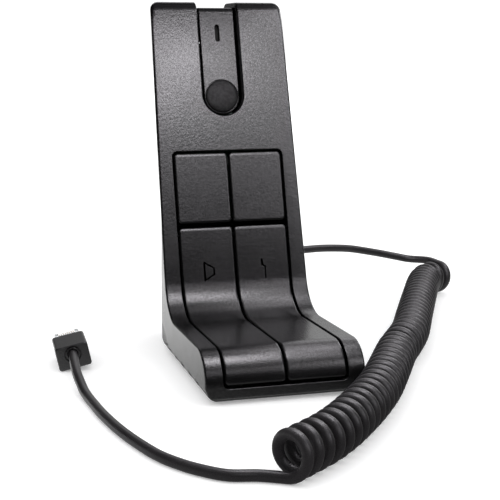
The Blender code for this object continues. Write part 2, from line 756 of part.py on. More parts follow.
def lever(side, name):
    """L-shaped lever hung on the pin near its upper end."""
    key = patch(nose_station(LEVER_Z0), column_station(LEVER_Z1),
                *mirrored_span(side, KEY_IN, KEY_OUT), KEY_LAYERS, LEVER_CORNER_R, name=name)
    for x in LUG_X:
        join(key, prism_yz(on_pin(LUG_OFFSETS), *mirrored_span(side, x, x + LUG_T)))
    cut(key, rod((side * 1.0, *PIN_YZ), (side, 0, 0), 26.0, PIN_BORE))
    # boss that meets the switch plunger, and a short spring spigot
    x = side * LEVER_PARTS_X
    join(key, rod((x, LEVER_SWITCH_Y, 15.9), UP, 2.9, radius=2.3))
    join(key, rod((x, SPRING_Y, 16.6), UP, 2.9, radius=1.7))
    paint(key, "key_black")


def lever_pin():
    length = 2 * PIN_HALF
    turned((-PIN_HALF, *PIN_YZ), (1, 0, 0),
           [(0, PIN_END_R), (PIN_CHAMFER, PIN_R), (length - PIN_CHAMFER, PIN_R),
            (length, PIN_END_R)], 10, "lever_pin", "steel_bright")


# ------------------------------------------- lever board, switches and springs
SWITCH_HALF = 3.0
SWITCH_BORE_R = 2.0
PLUNGER_R = 1.7
BOARD_SCREW = [(0, 0.6), (0.6, 0.95), (6.3, 0.95), (6.3001, 2.2), (7.4, 2.2), (7.9, 1.5)]
SPRING_TURNS, SPRING_PER_TURN = 4, 8
SPRING_R, SPRING_WIRE_R = 2.7, 0.33
SPRING_Z, SPRING_RISE = 10.7, 7.6


def lever_board():
    board = block((-24.5, 19.0, 8.4), (24.5, 60.0, 10.0), "lever_board")
    for y in STANDOFF_Y:
        cut(board, rod((0, y, 7.0), UP, 5.0, radius=1.6))
    paint(board, "board_green")


def board_screws():
    for i, y in enumerate(STANDOFF_Y, start=1):
        turned((0, y, 4.0), UP, BOARD_SCREW, 8, f"board_screw_{i}", "steel_bright")


def lever_switch(side, prefix):
    """Switch under a lever, bored for its plunger."""
    x, y = side * LEVER_PARTS_X, LEVER_SWITCH_Y
    switch = block((x - SWITCH_HALF, y - SWITCH_HALF, 10.3),
                   (x + SWITCH_HALF, y + SWITCH_HALF, 13.8),
                   f"{prefix}_switch", "switch_black", bevel=0.3)
    cut(switch, rod((x, y, 12.1), UP, 3.0, SWITCH_BORE_R))
    rod((x, y, 13.25), UP, 2.35, PLUNGER_R, name=f"{prefix}_plunger", mat="rubber_black")


def tube_along(points, radius, sides, name, mat):
    """Round cord swept along points with a rotation-minimising frame."""
    points = [Vector(p) for p in points]
    steps = [(b - a).normalized() for a, b in zip(points[:-1], points[1:])]
    tangents = ([steps[0]] + [(after + before).normalized()
                              for before, after in zip(steps[:-1], steps[1:])] + [steps[-1]])
    previous = tangents[0]
    first = previous.orthogonal().normalized()
    rings = []
    for point, tangent in zip(points, tangents):
        first = previous.rotation_difference(tangent) @ first
        first = (first - tangent * first.dot(tangent)).normalized()
        previous = tangent
        rings.append(circle(point, first, tangent.cross(first), radius, sides))
    loft(rings, name, mat, smooth=60)


def lever_spring(side, name):
    """Return spring standing on the board round the lever's spigot."""
    count = SPRING_TURNS * SPRING_PER_TURN
    points = []
    for k in range(count + 1):
        angle = 2 * math.pi * k / SPRING_PER_TURN
        points.append((side * LEVER_PARTS_X + SPRING_R * math.cos(angle),
                       SPRING_Y + SPRING_R * math.sin(angle),
                       SPRING_Z + SPRING_RISE * k / count))
    tube_along(points, SPRING_WIRE_R, 4, name, "steel_bright")


# -------------------------------------------------------------- column board
PLUNGER_GAP = 0.3       # between the button's boss and the plunger


def upper_switch(side, prefix):
    """Switch behind an upper button, bored for its plunger."""
    x = side * (KEY_IN + KEY_OUT) / 2
    z = UPPER_BOSS_Z
    switch = column_block((x - SWITCH_HALF, x + SWITCH_HALF), (z - 3.1, z + 3.1), (8.9, 12.3),
                          f"{prefix}_switch", "switch_black")
    cut(switch, rod((x, *column_point(z, 8.0)), INWARD, 2.7, SWITCH_BORE_R))
    depth = UPPER_BOSS_DEPTH + UPPER_BOSS_LEN + PLUNGER_GAP
    rod((x, *column_point(z, depth)), INWARD, 2.9, PLUNGER_R,
        name=f"{prefix}_plunger", mat="rubber_black")


def main_board():
    column_block((-24.0, 24.0), (66.0, 116.0), (12.6, 14.2), "main_board", "board_green")


def cord_header():
    column_block((-6.0, 6.0), (70.0, 76.0), (14.5, 20.0), "cord_header", "connector_white")


# ---------------------------------------------------------- microphone panel
TONGUE_HALF = 8.9
TONGUE_SINK = 2.7       # depth of the panel's face below the outline
TONGUE_T = 2.4
TONGUE_BACK = TONGUE_SINK + TONGUE_T
TONGUE_CORNER_R = 1.6
TONGUE_END_GAP = 0.8
TONGUE_LAYERS = [(TONGUE_SINK, 0.5, 0.5), (TONGUE_SINK + 0.15, 0.15, 0.15),
                 (TONGUE_SINK + 0.5, 0.0, 0.0), (TONGUE_BACK, 0.0, 0.0)]
MIC_Z = 151.3           # height on the face of the slot and the capsule behind it
SLOT_HALF_X, SLOT_HALF_LEN, SLOT_CORNER_R = 1.15, 4.3, 1.0
SLOT_LAYERS = [(TONGUE_SINK - 1.0, -0.3, -0.3), (TONGUE_SINK, -0.25, -0.25),
               (TONGUE_SINK + 0.4, 0.0, 0.0), (TONGUE_SINK + 4.0, 0.0, 0.0)]
DISC_R, DISC_GAP = 8.0, 0.3
BADGE_DISC = [(0, 2.6), (0.12, 5.0), (0.45, 7.2), (0.8, DISC_R), (1.6, DISC_R)]
CAPSULE_DEPTH = TONGUE_BACK + 1.4
CAPSULE = [(0, 4.4), (0.3, 4.85), (6.0, 4.85)]


def mic_panel():
    """Tongue in the channel, running over the top, with a slot and a badge seat."""
    panel = patch(CH_START + (CH_HALF - TONGUE_HALF), CH_END - TONGUE_END_GAP,
                  -TONGUE_HALF, TONGUE_HALF, TONGUE_LAYERS, TONGUE_CORNER_R,
                  round_end=True, name="mic_panel")
    slot = column_station(MIC_Z)
    cut(panel, patch(slot - SLOT_HALF_LEN, slot + SLOT_HALF_LEN, -SLOT_HALF_X, SLOT_HALF_X,
                     SLOT_LAYERS, SLOT_CORNER_R))
    cut(panel, rod((0, *column_point(CH_Z, TONGUE_SINK - 1.0)), INWARD, 2.0,
                   DISC_R + DISC_GAP, 24))
    paint(panel, "panel_black")


def badge_disc():
    turned((0, *column_point(CH_Z, TONGUE_SINK - 0.9)), INWARD, BADGE_DISC, 24,
           "badge_disc", "badge_black")


def mic_screen():
    rod((0, *column_point(MIC_Z, TONGUE_BACK + 0.3)), INWARD, 0.8, 5.6, 14,
        "mic_screen", "screen_felt")


def mic_capsule():
    turned((0, *column_point(MIC_Z, CAPSULE_DEPTH)), INWARD, CAPSULE, 16,
           "mic_capsule", "capsule_silver")


def mic_holder():
    """Sleeve round the capsule."""
    holder = rod((0, *column_point(MIC_Z, CAPSULE_DEPTH)), INWARD, 6.6, 6.3, 16, "mic_holder")
    cut(holder, rod((0, *column_point(MIC_Z, CAPSULE_DEPTH - 2.0)), INWARD, 12.0, 5.15, 16))
    paint(holder, "rubber_black")


# ---------------------------------------------------------------------- cord
BUSH_Y = 124.5
BUSH = [(0, 5.6), (2.3, 5.6), (2.3001, 4.2), (12.6, 4.2), (13.2, 3.9), (22.0, 3.2)]
CORD_BORE_R = 2.5       # in the strain relief and in the plug's boot
CORD_R, CORD_SIDES = 2.15, 5
COIL_R = 7.25           # radius of the wire's centre line in the coil
COIL_PITCH = 6.6        # at the near end
COIL_SPREAD = 0.9       # growth of the pitch towards the far end
COIL_GAP = 2.4          # extra pitch where the coil is pulled open
COIL_GAP_AT = 156.0     # distance of that place along the axis
COIL_GAP_WIDTH = 9.0
COIL_STEPS = 900        # steps that add up the turns along the axis
COIL_PER_TURN = 12      # points per turn
TAIL_STEPS = 3          # points per spline span of the tails

# Lie of the cord, (x, y, z).  The near end is at the plug, in front and left;
# the far end goes into the back of the housing.
COIL_AXIS = [
    (-28.1, -88.3, 9.45), (-7.0, -71.2, 9.45), (12.5, -48.8, 9.45), (31.3, -22.7, 9.45),
    (48.1, 6.2, 9.45), (60.8, 28.8, 9.45), (69.0, 41.5, 9.45), (80.6, 60.2, 9.45),
    (97.2, 92.8, 9.45), (120.5, 138.4, 9.45), (132.5, 161.5, 9.45), (140.5, 173.8, 9.45),
    (151.0, 181.0, 9.45)]
NEAR_TAIL = [
    (-80.23, 72.9, 8.46), (-80.54, 66.0, 8.46), (-80.8, 60.8, 8.42), (-81.5, 53.5, 7.9),
    (-81.8, 46.5, 6.9), (-81.8, 40.0, 5.7), (-81.4, 33.5, 4.2), (-81.0, 26.7, 3.0),
    (-80.2, 19.0, 2.3), (-79.3, 10.0, 2.2), (-77.9, -3.5, 2.2), (-74.4, -24.5, 2.2),
    (-70.0, -42.3, 2.2), (-65.4, -56.2, 2.2), (-60.2, -65.9, 2.2), (-54.6, -73.4, 2.2),
    (-46.8, -80.6, 2.2)]
FAR_TAIL = [
    (137.5, 195.0, 17.9), (128.9, 195.5, 19.8), (119.0, 194.5, 22.2), (108.4, 192.0, 24.7),
    (97.6, 188.5, 27.1), (85.5, 183.0, 29.0), (74.2, 178.0, 30.2), (63.6, 172.5, 31.0),
    (40.0, 163.0, 33.6), (18.0, 156.5, 35.6), (6.0, 152.8, 36.8),
    (0.0, 148.0, CORD_EXIT_Z), (0.0, 142.0, CORD_EXIT_Z), (0.0, 120.5, CORD_EXIT_Z)]
NEAR_LEAD = Vector((-8.6, 4.6, 0.0))   # from the coil's first point to the tail
FAR_LEAD = 7.0                         # along the coil's last step,
FAR_LEAD_SHIFT = Vector((-0.6, 0.4, 0.3))   # then moved by this


def spline(points, steps):
    """Centripetal Catmull-Rom through points, evenly cut per span."""
    def blend(start, end, t_start, t_end, t):
        span = t_end - t_start
        return start * ((t_end - t) / span) + end * ((t - t_start) / span)

    points = [Vector(p) for p in points]
    points = [points[0] * 2 - points[1]] + points + [points[-1] * 2 - points[-2]]
    out = []
    for i in range(1, len(points) - 2):
        p0, p1, p2, p3 = points[i - 1:i + 3]
        t0 = 0.0
        t1 = t0 + (p1 - p0).length ** 0.5
        t2 = t1 + (p2 - p1).length ** 0.5
        t3 = t2 + (p3 - p2).length ** 0.5
        for k in range(steps):
            t = t1 + (t2 - t1) * k / steps
            middle = blend(p1, p2, t1, t2, t)
            before = blend(blend(p0, p1, t0, t1, t), middle, t0, t2, t)
            after = blend(middle, blend(p2, p3, t2, t3, t), t1, t3, t)
            out.append(blend(before, after, t1, t2, t))
    out.append(points[-2])
    return out


def walk(points):
    """Function from distance to (point, direction) on a polyline, and its length."""
    lengths = [0.0]
    for a, b in zip(points[:-1], points[1:]):
        lengths.append(lengths[-1] + (b - a).length)

    def at(distance):
        distance = min(max(distance, 0.0), lengths[-1])
        i = min(bisect.bisect_right(lengths, distance) - 1, len(points) - 2)
        fraction = (distance - lengths[i]) / max(lengths[i + 1] - lengths[i], 1e-9)
        return (points[i].lerp(points[i + 1], fraction),
                (points[i + 1] - points[i]).normalized())
    return at, lengths[-1]


def coil_points():
    axis_at, length = walk(spline(COIL_AXIS, 24))
    # turns reached along the axis, by adding up small steps
    reached = [0.0]
    for i in range(COIL_STEPS):
        s = length * (i + 0.5) / COIL_STEPS
        pitch = (COIL_PITCH + COIL_SPREAD * s / length
                 + COIL_GAP * math.exp(-((s - COIL_GAP_AT) / COIL_GAP_WIDTH) ** 2))
        reached.append(reached[-1] + length / COIL_STEPS / pitch)
    count = int((int(reached[-1]) + 0.5) * COIL_PER_TURN)
    out = []
    i = 0
    for k in range(count + 1):
        wanted = reached[-1] * k / count
        while i < COIL_STEPS - 1 and reached[i + 1] < wanted:
            i += 1
        fraction = (wanted - reached[i]) / (reached[i + 1] - reached[i])
        centre, tangent = axis_at(length * (i + fraction) / COIL_STEPS)
        sideways = Vector((tangent.y, -tangent.x, 0.0)).normalized()
        upward = sideways.cross(tangent).normalized()
        angle = math.pi - 2 * math.pi * k / COIL_PER_TURN
        out.append(centre + COIL_R * (math.cos(angle) * upward + math.sin(angle) * sideways))
    return out


def coil_cord():
    coil = coil_points()
    near = spline(NEAR_TAIL + [coil[0] + NEAR_LEAD, coil[0]], TAIL_STEPS)[:-1]
    # leave the last ring tangentially and climb to the housing
    last = coil[-1]
    heading = (last - coil[-2]).normalized()
    far = spline([last, last + heading * FAR_LEAD + FAR_LEAD_SHIFT] + FAR_TAIL, TAIL_STEPS)[1:]
    tube_along(near + coil + far, CORD_R, CORD_SIDES, "coil_cord", "cord_black")


def strain_relief():
    """Flanged bush through the rear wall, bored for the cord."""
    bush = turned((0, BUSH_Y, CORD_EXIT_Z), BACKWARD, BUSH, 14, "strain_relief")
    cut(bush, rod((0, CORD_TUNNEL_Y, CORD_EXIT_Z), BACKWARD, CORD_TUNNEL_LEN, CORD_BORE_R, 12))
    paint(bush, "rubber_black")


# ---------------------------------------------------------------------- plug
# The plug's own axes are (across, along, up); along runs from the cord to the tip.
BOOT_BACK = Vector((-80.3, 63.5, 6.8))     # origin of those axes, at the cord side
BOOT_DIR = Vector((0.045, 1.0, 0.0)).normalized()
BOOT_ROLL = math.radians(12.0)             # the cord's twist leans the plug over
BOOT_MID = 6.7                             # "up" of the axis that the plug rolls about

# (along, half width, bottom, top, corner radius)
BOOT_RINGS = [(3.4, 3.3, 5.1, 11.7, 3.2), (4.3, 3.5, 4.9, 11.9, 3.4),
              (4.4, 6.7, 1.8, 11.95, 2.2), (5.3, 7.5, 1.2, 12.2, 1.8),
              (24.0, 7.5, 1.2, 12.2, 1.8), (26.4, 7.0, 1.6, 11.6, 1.6)]
PLUG_RINGS = [(26.8, 5.6, 3.0, 9.6, 0.4), (27.2, 5.85, 3.0, 9.6, 0.3),
              (41.2, 5.85, 3.0, 9.6, 0.3), (41.8, 5.5, 3.3, 9.3, 0.3)]
CONTACTS, CONTACT_PITCH = 8, 1.02
# (along, bottom, top)
SLOT_SECTIONS = [(36.6, 7.6, 11.0), (43.0, 7.6, 11.0)]
CONTACT_SECTIONS = [(37.0, 8.0, 9.3), (40.8, 8.0, 9.3)]
LATCH_SECTIONS = [(40.8, 1.9, 2.65), (38.5, 1.5, 2.35), (33.0, 1.0, 1.8), (27.9, 0.45, 1.25)]


def plug_point(across, along, up):
    """Drawing-frame point from the plug's own axes."""
    sideways = Vector((BOOT_DIR.y, -BOOT_DIR.x, 0.0))
    cosine, sine = math.cos(BOOT_ROLL), math.sin(BOOT_ROLL)
    rise = up - BOOT_MID
    point = BOOT_BACK + sideways * (across * cosine - rise * sine) + BOOT_DIR * along
    return (point.x, point.y, point.z + across * sine + rise * cosine)


def plug_body(sections, steps, name):
    """Loft of rounded rectangles along the plug."""
    return loft([[plug_point(across, along, up) for across, up in
                  rounded_outline(-half, half, bottom, top, radius, steps)]
                 for along, half, bottom, top, radius in sections], name)


def plug_bar(centre, half, sections, name="tool", mat=None, smooth=30.0):
    """Bar of rectangular section along the plug."""
    left, right = centre - half, centre + half
    return loft([[plug_point(left, along, bottom), plug_point(right, along, bottom),
                  plug_point(right, along, top), plug_point(left, along, top)]
                 for along, bottom, top in sections], name, mat, smooth)


def plug_boot():
    boot = plug_body(BOOT_RINGS, 2, "plug_boot")
    cut(boot, rod(plug_point(0, -2.0, 8.4), BOOT_DIR, 12.0, CORD_BORE_R, 12))
    paint(boot, "rubber_black")
    shade(boot, 35)


def contact_positions():
    return [(i - (CONTACTS - 1) / 2) * CONTACT_PITCH for i in range(CONTACTS)]


def modular_plug():
    """Clear body in front of the boot, slotted for the contacts."""
    plug = plug_body(PLUG_RINGS, 1, "modular_plug")
    for across in contact_positions():
        cut(plug, plug_bar(across, 0.42, SLOT_SECTIONS))
    paint(plug, "clear_plastic")


def plug_contacts():
    for i, across in enumerate(contact_positions(), start=1):
        plug_bar(across, 0.15, CONTACT_SECTIONS, f"contact_{i}", "contact_gold", smooth=0)


def plug_latch():
    plug_bar(0.0, 1.6, LATCH_SECTIONS, "plug_latch", "clear_plastic", smooth=0)


# ------------------------------------------------------------------ assembly
def main():
    clear_scene()
    pan = build_housings()
    base_plate(pan)
    base_screws()
    foot_pad()
    ballast_weight()
    for side, column_side, lever_name in ((-1, "left", "monitor"), (1, "right", "ptt")):
        upper_button(side, f"upper_{column_side}_button")
        upper_switch(side, f"upper_{column_side}")
        lever(side, f"{lever_name}_lever")
        lever_switch(side, lever_name)
        lever_spring(side, f"{lever_name}_spring")
    lever_pin()
    lever_board()
    board_screws()
    main_board()
    cord_header()
    mic_panel()
    badge_disc()
    mic_screen()
    mic_capsule()
    mic_holder()
    strain_relief()
    coil_cord()
    plug_boot()
    modular_plug()
    plug_contacts()
    plug_latch()


main()
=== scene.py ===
# Looks of the desktop two-way-radio microphone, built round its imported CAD
# model: a wedge foot with two levers, a leaning column with two buttons and a
# microphone panel, and a coiled cord that ends in a modular plug.
# Lengths are millimetres in the drawing frame of the part: y = 0 is just in
# front of the nose and y grows to the back, z = 0 is the desk, x = 0 is the
# symmetry plane and -x is the left side.  put() moves points to the part
# frame in metres.
import json
import math
from bisect import bisect_right
from collections import Counter, namedtuple

import bmesh
import bpy
import numpy as np
from mathutils import Matrix, Vector
from mathutils.geometry import delaunay_2d_cdt


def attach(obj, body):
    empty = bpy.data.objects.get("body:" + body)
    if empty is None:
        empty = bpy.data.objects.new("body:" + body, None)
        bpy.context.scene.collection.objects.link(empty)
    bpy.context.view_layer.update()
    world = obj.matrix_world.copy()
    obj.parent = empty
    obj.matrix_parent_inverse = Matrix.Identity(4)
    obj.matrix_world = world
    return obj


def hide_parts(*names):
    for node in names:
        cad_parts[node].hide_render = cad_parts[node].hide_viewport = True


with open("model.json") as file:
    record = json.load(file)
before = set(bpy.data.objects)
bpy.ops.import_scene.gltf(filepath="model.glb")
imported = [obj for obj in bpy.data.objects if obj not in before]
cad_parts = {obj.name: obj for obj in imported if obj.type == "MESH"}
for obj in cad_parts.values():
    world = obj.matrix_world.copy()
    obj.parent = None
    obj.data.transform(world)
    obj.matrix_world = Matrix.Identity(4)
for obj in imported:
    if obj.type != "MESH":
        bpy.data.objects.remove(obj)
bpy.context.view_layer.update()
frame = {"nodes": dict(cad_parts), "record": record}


# ---------------------------------------------------------------- dimensions
MM = 0.001              # one millimetre in metres
Y_MID = 65.0            # drawing y of the frame origin

# Side outline of the housing
NOSE_Y = 0.5            # front face of the nose
RIM_Z = 2.4             # underside rim of the nose skin
RIM_CORNER_R = 1.2
NOSE_R = 14.5
SEAT_Y, SEAT_Z = 15.38, 21.695     # a point on the seat
SEAT_FALL = math.radians(1.5)
FOOT_R = 21.0           # concave fillet between seat and column
LEAN = math.radians(16.0)
COL_Y, COL_Z = 80.0, 33.0          # a point on the column's front plane
TOP_Z = 166.0
TOP_FRONT_R = 5.5
TOP_BACK_R = 6.0
BACK_TOP_Y, BACK_BOTTOM_Y = 146.6, 130.0
HEEL_R = 4.0

# Widths and edge roundings
W_HALF = 35.0           # half width of the foot
W_DRAFT = 0.0189        # narrowing of the half width per mm of height
W_DRAFT_Z = 38.0        # height where that narrowing starts
BELLY_R, BELLY_Z = 5.4, 7.3  # rounding of the long lower edges, height of its centre
TAPER_Y = 89.0          # the sides taper behind this
REAR_TAPER = math.tan(math.radians(12.0))
EDGE_R = 1.0            # rounding of the side edges
TOP_CORNER_R = 4.5
REAR_EDGE_R = 9.0
HEEL_EDGE_R = 3.6

# Shell and seams
WALL = 2.5
SPLIT = 8.6             # seam's distance behind the column's front
SEAM = 0.3
PAN_Z0, PAN_Z1 = 5.1, 5.6  # seam between the base pan and the housings above it
PAN_Y = 3.2             # the nose skin covers the pan in front of this
FAR = 60.0              # half width of tools that reach past both sides

# Keypad opening and keys
OPEN_HALF = 27.3
OPEN_BOTTOM_Z, OPEN_TOP_Z = 6.8, 95.6
KEY_IN, KEY_OUT = 0.45, 26.4
UPPER_Z0, UPPER_Z1 = 62.3, 94.6
LEVER_Z0, LEVER_Z1 = 8.3, 60.2
KEY_T = 2.4
PIN_BORE = 1.8          # radius of the lever pin's bore
PIN_Z_ON_FACE = 57.0
PIN_DEPTH = 6.2

# Microphone channel and the panel (tongue) in it
CH_HALF = 10.1
CH_Z = 121.8            # height of the centre of its round end
TONGUE_HALF = 8.9
TONGUE_SINK = 2.7
TONGUE_T = 2.4
DISC_R = 8.0

# Base screws, (x, y)
SCREW_X_FRONT, SCREW_Y_FRONT = 20, 8.6
SCREW_X_REAR, SCREW_Y_REAR = 16, 121.6
SCREWS = ((-SCREW_X_FRONT, SCREW_Y_FRONT), (SCREW_X_FRONT, SCREW_Y_FRONT),
          (-SCREW_X_REAR, SCREW_Y_REAR), (SCREW_X_REAR, SCREW_Y_REAR))
SCREW_BORE = 1.8

# Foot pad under the base
PAD_HALF_X, PAD_HALF_Y, PAD_CORNER_R = 22.0, 45.0, 4.0
PAD_GAP = 0.4

# Cord
CORD_R = 2.15
CORD_SIDES = 18
CORD_BORE = 2.5
CORD_EXIT_Z = 37.0
COIL_R = 7.25           # radius of the wire's centre line in the coil
COIL_Z = 9.45           # height of the coil's axis
COIL_PITCH = 6.6        # at the near end
COIL_SPREAD = 0.9       # growth of the pitch towards the far end
COIL_GAP = 2.4          # extra pitch where the coil is pulled open
COIL_GAP_AT = 156.0
COIL_GAP_WIDTH = 9.0
PER_TURN = 32           # cord points in one turn
TAIL_STEPS = 10         # cord points per span of the tails

UP = (0, 0, 1)
BACKWARD = (0, 1, 0)
INWARD = (0, math.cos(LEAN), -math.sin(LEAN))   # into the column's front plane


# --------------------------------------------------------- meshes and booleans
def put(x, y, z):
    return Vector((x * MM, (y - Y_MID) * MM, z * MM))


def new_object(bm, smooth=30.0):
    """Object from a closed bmesh; smooth is the sharp-edge angle, 0 for flat."""
    bmesh.ops.recalc_face_normals(bm, faces=bm.faces[:])
    if bm.calc_volume(signed=True) < 0:
        bmesh.ops.reverse_faces(bm, faces=bm.faces[:])
    mesh = bpy.data.meshes.new("piece")
    bm.to_mesh(mesh)
    bm.free()
    ob = bpy.data.objects.new("piece", mesh)
    bpy.context.scene.collection.objects.link(ob)
    if smooth:
        mesh.shade_smooth()
        mesh.set_sharp_from_angle(angle=math.radians(smooth))
    return ob


def duplicate(ob):
    twin = ob.copy()
    twin.data = ob.data.copy()
    bpy.context.scene.collection.objects.link(twin)
    return twin


def combine(ob, tool, how="DIFFERENCE"):
    """Apply a boolean to ob, use up the tool and weld what it leaves."""
    mod = ob.modifiers.new("cut", "BOOLEAN")
    mod.operation = how
    mod.solver = "EXACT"
    mod.object = tool
    bpy.context.view_layer.update()
    depsgraph = bpy.context.evaluated_depsgraph_get()
    mesh = bpy.data.meshes.new_from_object(ob.evaluated_get(depsgraph))
    ob.modifiers.clear()
    old = ob.data
    ob.data = mesh
    bpy.data.meshes.remove(old)
    bpy.data.objects.remove(tool, do_unlink=True)
    bm = bmesh.new()
    bm.from_mesh(mesh)
    bmesh.ops.remove_doubles(bm, verts=bm.verts[:], dist=2e-6)
    bmesh.ops.dissolve_degenerate(bm, edges=bm.edges[:], dist=1e-6)
    bm.to_mesh(mesh)
    bm.free()


def skin(rings):
    """Closed bmesh over a list of equally long rings."""
    bm = bmesh.new()
    rows = [[bm.verts.new(p) for p in ring] for ring in rings]
    n = len(rows[0])
    for a, b in zip(rows[:-1], rows[1:]):
        for i in range(n):
            j = (i + 1) % n
            bm.faces.new((a[i], a[j], b[j], b[i]))
    bm.faces.new(rows[0])
    bm.faces.new(rows[-1][::-1])
    return bm


def loft(rings, smooth=30.0):
    """Solid over rings of drawing-frame points."""
    return new_object(skin([[put(*p) for p in ring] for ring in rings]), smooth)


def circle(centre, u, v, radius, sides):
    return [tuple(centre + radius * (math.cos(2 * math.pi * k / sides) * u
                                     + math.sin(2 * math.pi * k / sides) * v))
            for k in range(sides)]


def turned(start, axis, profile, sides):
    """Solid of revolution: profile is a list of (distance along axis, radius)."""
    along = Vector(axis).normalized()
    u = Vector((0, 0, 1)) if abs(along.x) > 0.9 else Vector((1, 0, 0))
    v = along.cross(u).normalized()
    u = v.cross(along).normalized()
    return loft([circle(Vector(start) + along * d, u, v, r, sides) for d, r in profile])


def rod(start, axis, length, radius, sides):
    return turned(start, axis, [(0, radius), (length, radius)], sides)


def block(low, high):
    (x0, y0, z0), (x1, y1, z1) = low, high
    return loft([[(x0, y0, z), (x1, y0, z), (x1, y1, z), (x0, y1, z)] for z in (z0, z1)],
                smooth=0)


def prism_yz(outline, x0, x1):
    """Extrude a (y, z) outline along X."""
    return loft([[(x, y, z) for y, z in outline] for x in sorted((x0, x1))], smooth=0)


def rounded_rect(x0, x1, y0, y1, radius, steps):
    """Ring of (x, y) with a quarter circle about each corner of a rectangle."""
    ring = []
    for cx, cy, start in ((x1, y1, 0), (x0, y1, 90), (x0, y0, 180), (x1, y0, 270)):
        for k in range(steps + 1):
            t = math.radians(start + 90.0 * k / steps)
            ring.append((cx + radius * math.cos(t), cy + radius * math.sin(t)))
    return ring


# ---------------------------------------------------------------- side outline
Part = namedtuple("Part", "start end point heading turn radius")


class Path:
    """Closed outline of lines and fillet arcs in the (y, z) plane.  It runs up
    the nose, back over the seat, up the column, over the top and down the
    back.  Places on it are stations: lengths along the outline.  Straight
    parts have radius 0."""

    def __init__(self, corners, radii):
        n = len(corners)
        fillets = []
        for i in range(n):
            before, corner, after = (Vector(corners[i - 1]), Vector(corners[i]),
                                     Vector(corners[(i + 1) % n]))
            d0, d1 = (corner - before).normalized(), (after - corner).normalized()
            turn = math.atan2(d0.x * d1.y - d0.y * d1.x, d0.dot(d1))
            t = radii[i] * abs(math.tan(turn / 2))
            fillets.append((corner - d0 * t, corner + d1 * t, d0, turn))
        self.parts = []
        s = 0.0
        for i, (enter, leave, heading, turn) in enumerate(fillets):
            r = radii[i]
            if r > 1e-6 and abs(turn) > 1e-6:
                self.parts.append(Part(s, s + r * abs(turn), enter, heading, turn, r))
                s += r * abs(turn)
            line = fillets[(i + 1) % n][0] - leave
            length = line.length
            if length > 1e-6:
                self.parts.append(Part(s, s + length, leave, line.normalized(), 0.0, 0.0))
                s += length
        self.length = s

    def arc(self, radius):
        """The fillet with this radius."""
        return next(p for p in self.parts if abs(p.radius - radius) < 1e-6)

    def at(self, s):
        """Point and outward normal at a station."""
        s = s % self.length
        for part in self.parts:
            if s <= part.end + 1e-9:
                break
        u = s - part.start
        d = part.heading
        normal = Vector((-d.y, d.x))
        if not part.radius:
            return part.point + d * u, normal
        sign = 1.0 if part.turn > 0 else -1.0
        centre = part.point + normal * sign * part.radius
        rotation = Matrix.Rotation(sign * u / part.radius, 2)
        return centre + rotation @ (part.point - centre), rotation @ normal

    def s_at(self, z, low, high):
        """Station whose height is z, between two stations (z rises with s)."""
        for _ in range(60):
            middle = 0.5 * (low + high)
            if self.at(middle)[0].y < z:
                low = middle
            else:
                high = middle
        return 0.5 * (low + high)

    def stations(self, arc_deg, line_step):
        out = []
        for part in self.parts:
            span = part.end - part.start
            if part.radius:
                n = max(1, round(math.degrees(abs(part.turn)) / arc_deg))
            else:
                n = max(1, math.ceil(span / line_step))
            out += [part.start + span * k / n for k in range(n)]
        return out


def cross_point(p, d, q, e):
    """Where the line through p along d meets the line through q along e."""
    det = d[0] * (-e[1]) + e[0] * d[1]
    t = ((q[0] - p[0]) * (-e[1]) + e[0] * (q[1] - p[1])) / det
    return (p[0] + d[0] * t, p[1] + d[1] * t)


BACK_DIR = (BACK_BOTTOM_Y - BACK_TOP_Y, RIM_Z - TOP_Z)


def side_corners(off=0.0, floor=RIM_Z):
    """Corners of the side outline, moved inwards by off."""
    seat_d = (math.cos(SEAT_FALL), -math.sin(SEAT_FALL))
    col_d = (math.sin(LEAN), math.cos(LEAN))
    seat_p = (SEAT_Y - off * math.sin(SEAT_FALL), SEAT_Z - off * math.cos(SEAT_FALL))
    col_p = (COL_Y + off * math.cos(LEAN), COL_Z - off * math.sin(LEAN))
    top = TOP_Z - off
    length = math.hypot(*BACK_DIR)
    back_p = (BACK_TOP_Y + off * BACK_DIR[1] / length, TOP_Z - off * BACK_DIR[0] / length)
    return [(NOSE_Y + off, floor),
            cross_point((NOSE_Y + off, 0.0), (0.0, 1.0), seat_p, seat_d),
            cross_point(seat_p, seat_d, col_p, col_d),
            cross_point(col_p, col_d, (0.0, top), (1.0, 0.0)),
            cross_point(back_p, BACK_DIR, (0.0, top), (1.0, 0.0)),
            cross_point(back_p, BACK_DIR, (0.0, floor), (1.0, 0.0))]


OUTER = Path(side_corners(), [RIM_CORNER_R, NOSE_R, FOOT_R, TOP_FRONT_R, TOP_BACK_R, HEEL_R])
S_FRONT = RIM_CORNER_R * math.pi / 2             # foot of the nose
S_COL0 = OUTER.arc(FOOT_R).end
S_COL1 = OUTER.arc(TOP_FRONT_R).start
TOP_BACK = OUTER.arc(TOP_BACK_R)
HEEL = OUTER.arc(HEEL_R)


def col_s(z):
    return OUTER.s_at(z, S_COL0, S_COL1)


def nose_s(z):
    return OUTER.s_at(z, S_FRONT, S_FRONT + 20.0)


CH_S0 = col_s(CH_Z) - CH_HALF    # the channel's lower end
CH_S1 = TOP_BACK.end + 14.0      # its other end, over the top on the back


def column_y(z):
    """The column's front plane."""
    return COL_Y + math.tan(LEAN) * (z - COL_Z)


def col_point(z, depth=0.0):
    """Point behind the column's front plane: face height z, depth inwards."""
    return column_y(z) + depth * math.cos(LEAN), z - depth * math.sin(LEAN)


def pin_outline(corners):
    """(y, z) outline from (height above the lever pin, depth) corners."""
    return [col_point(PIN_Z_ON_FACE + dz, depth) for dz, depth in corners]


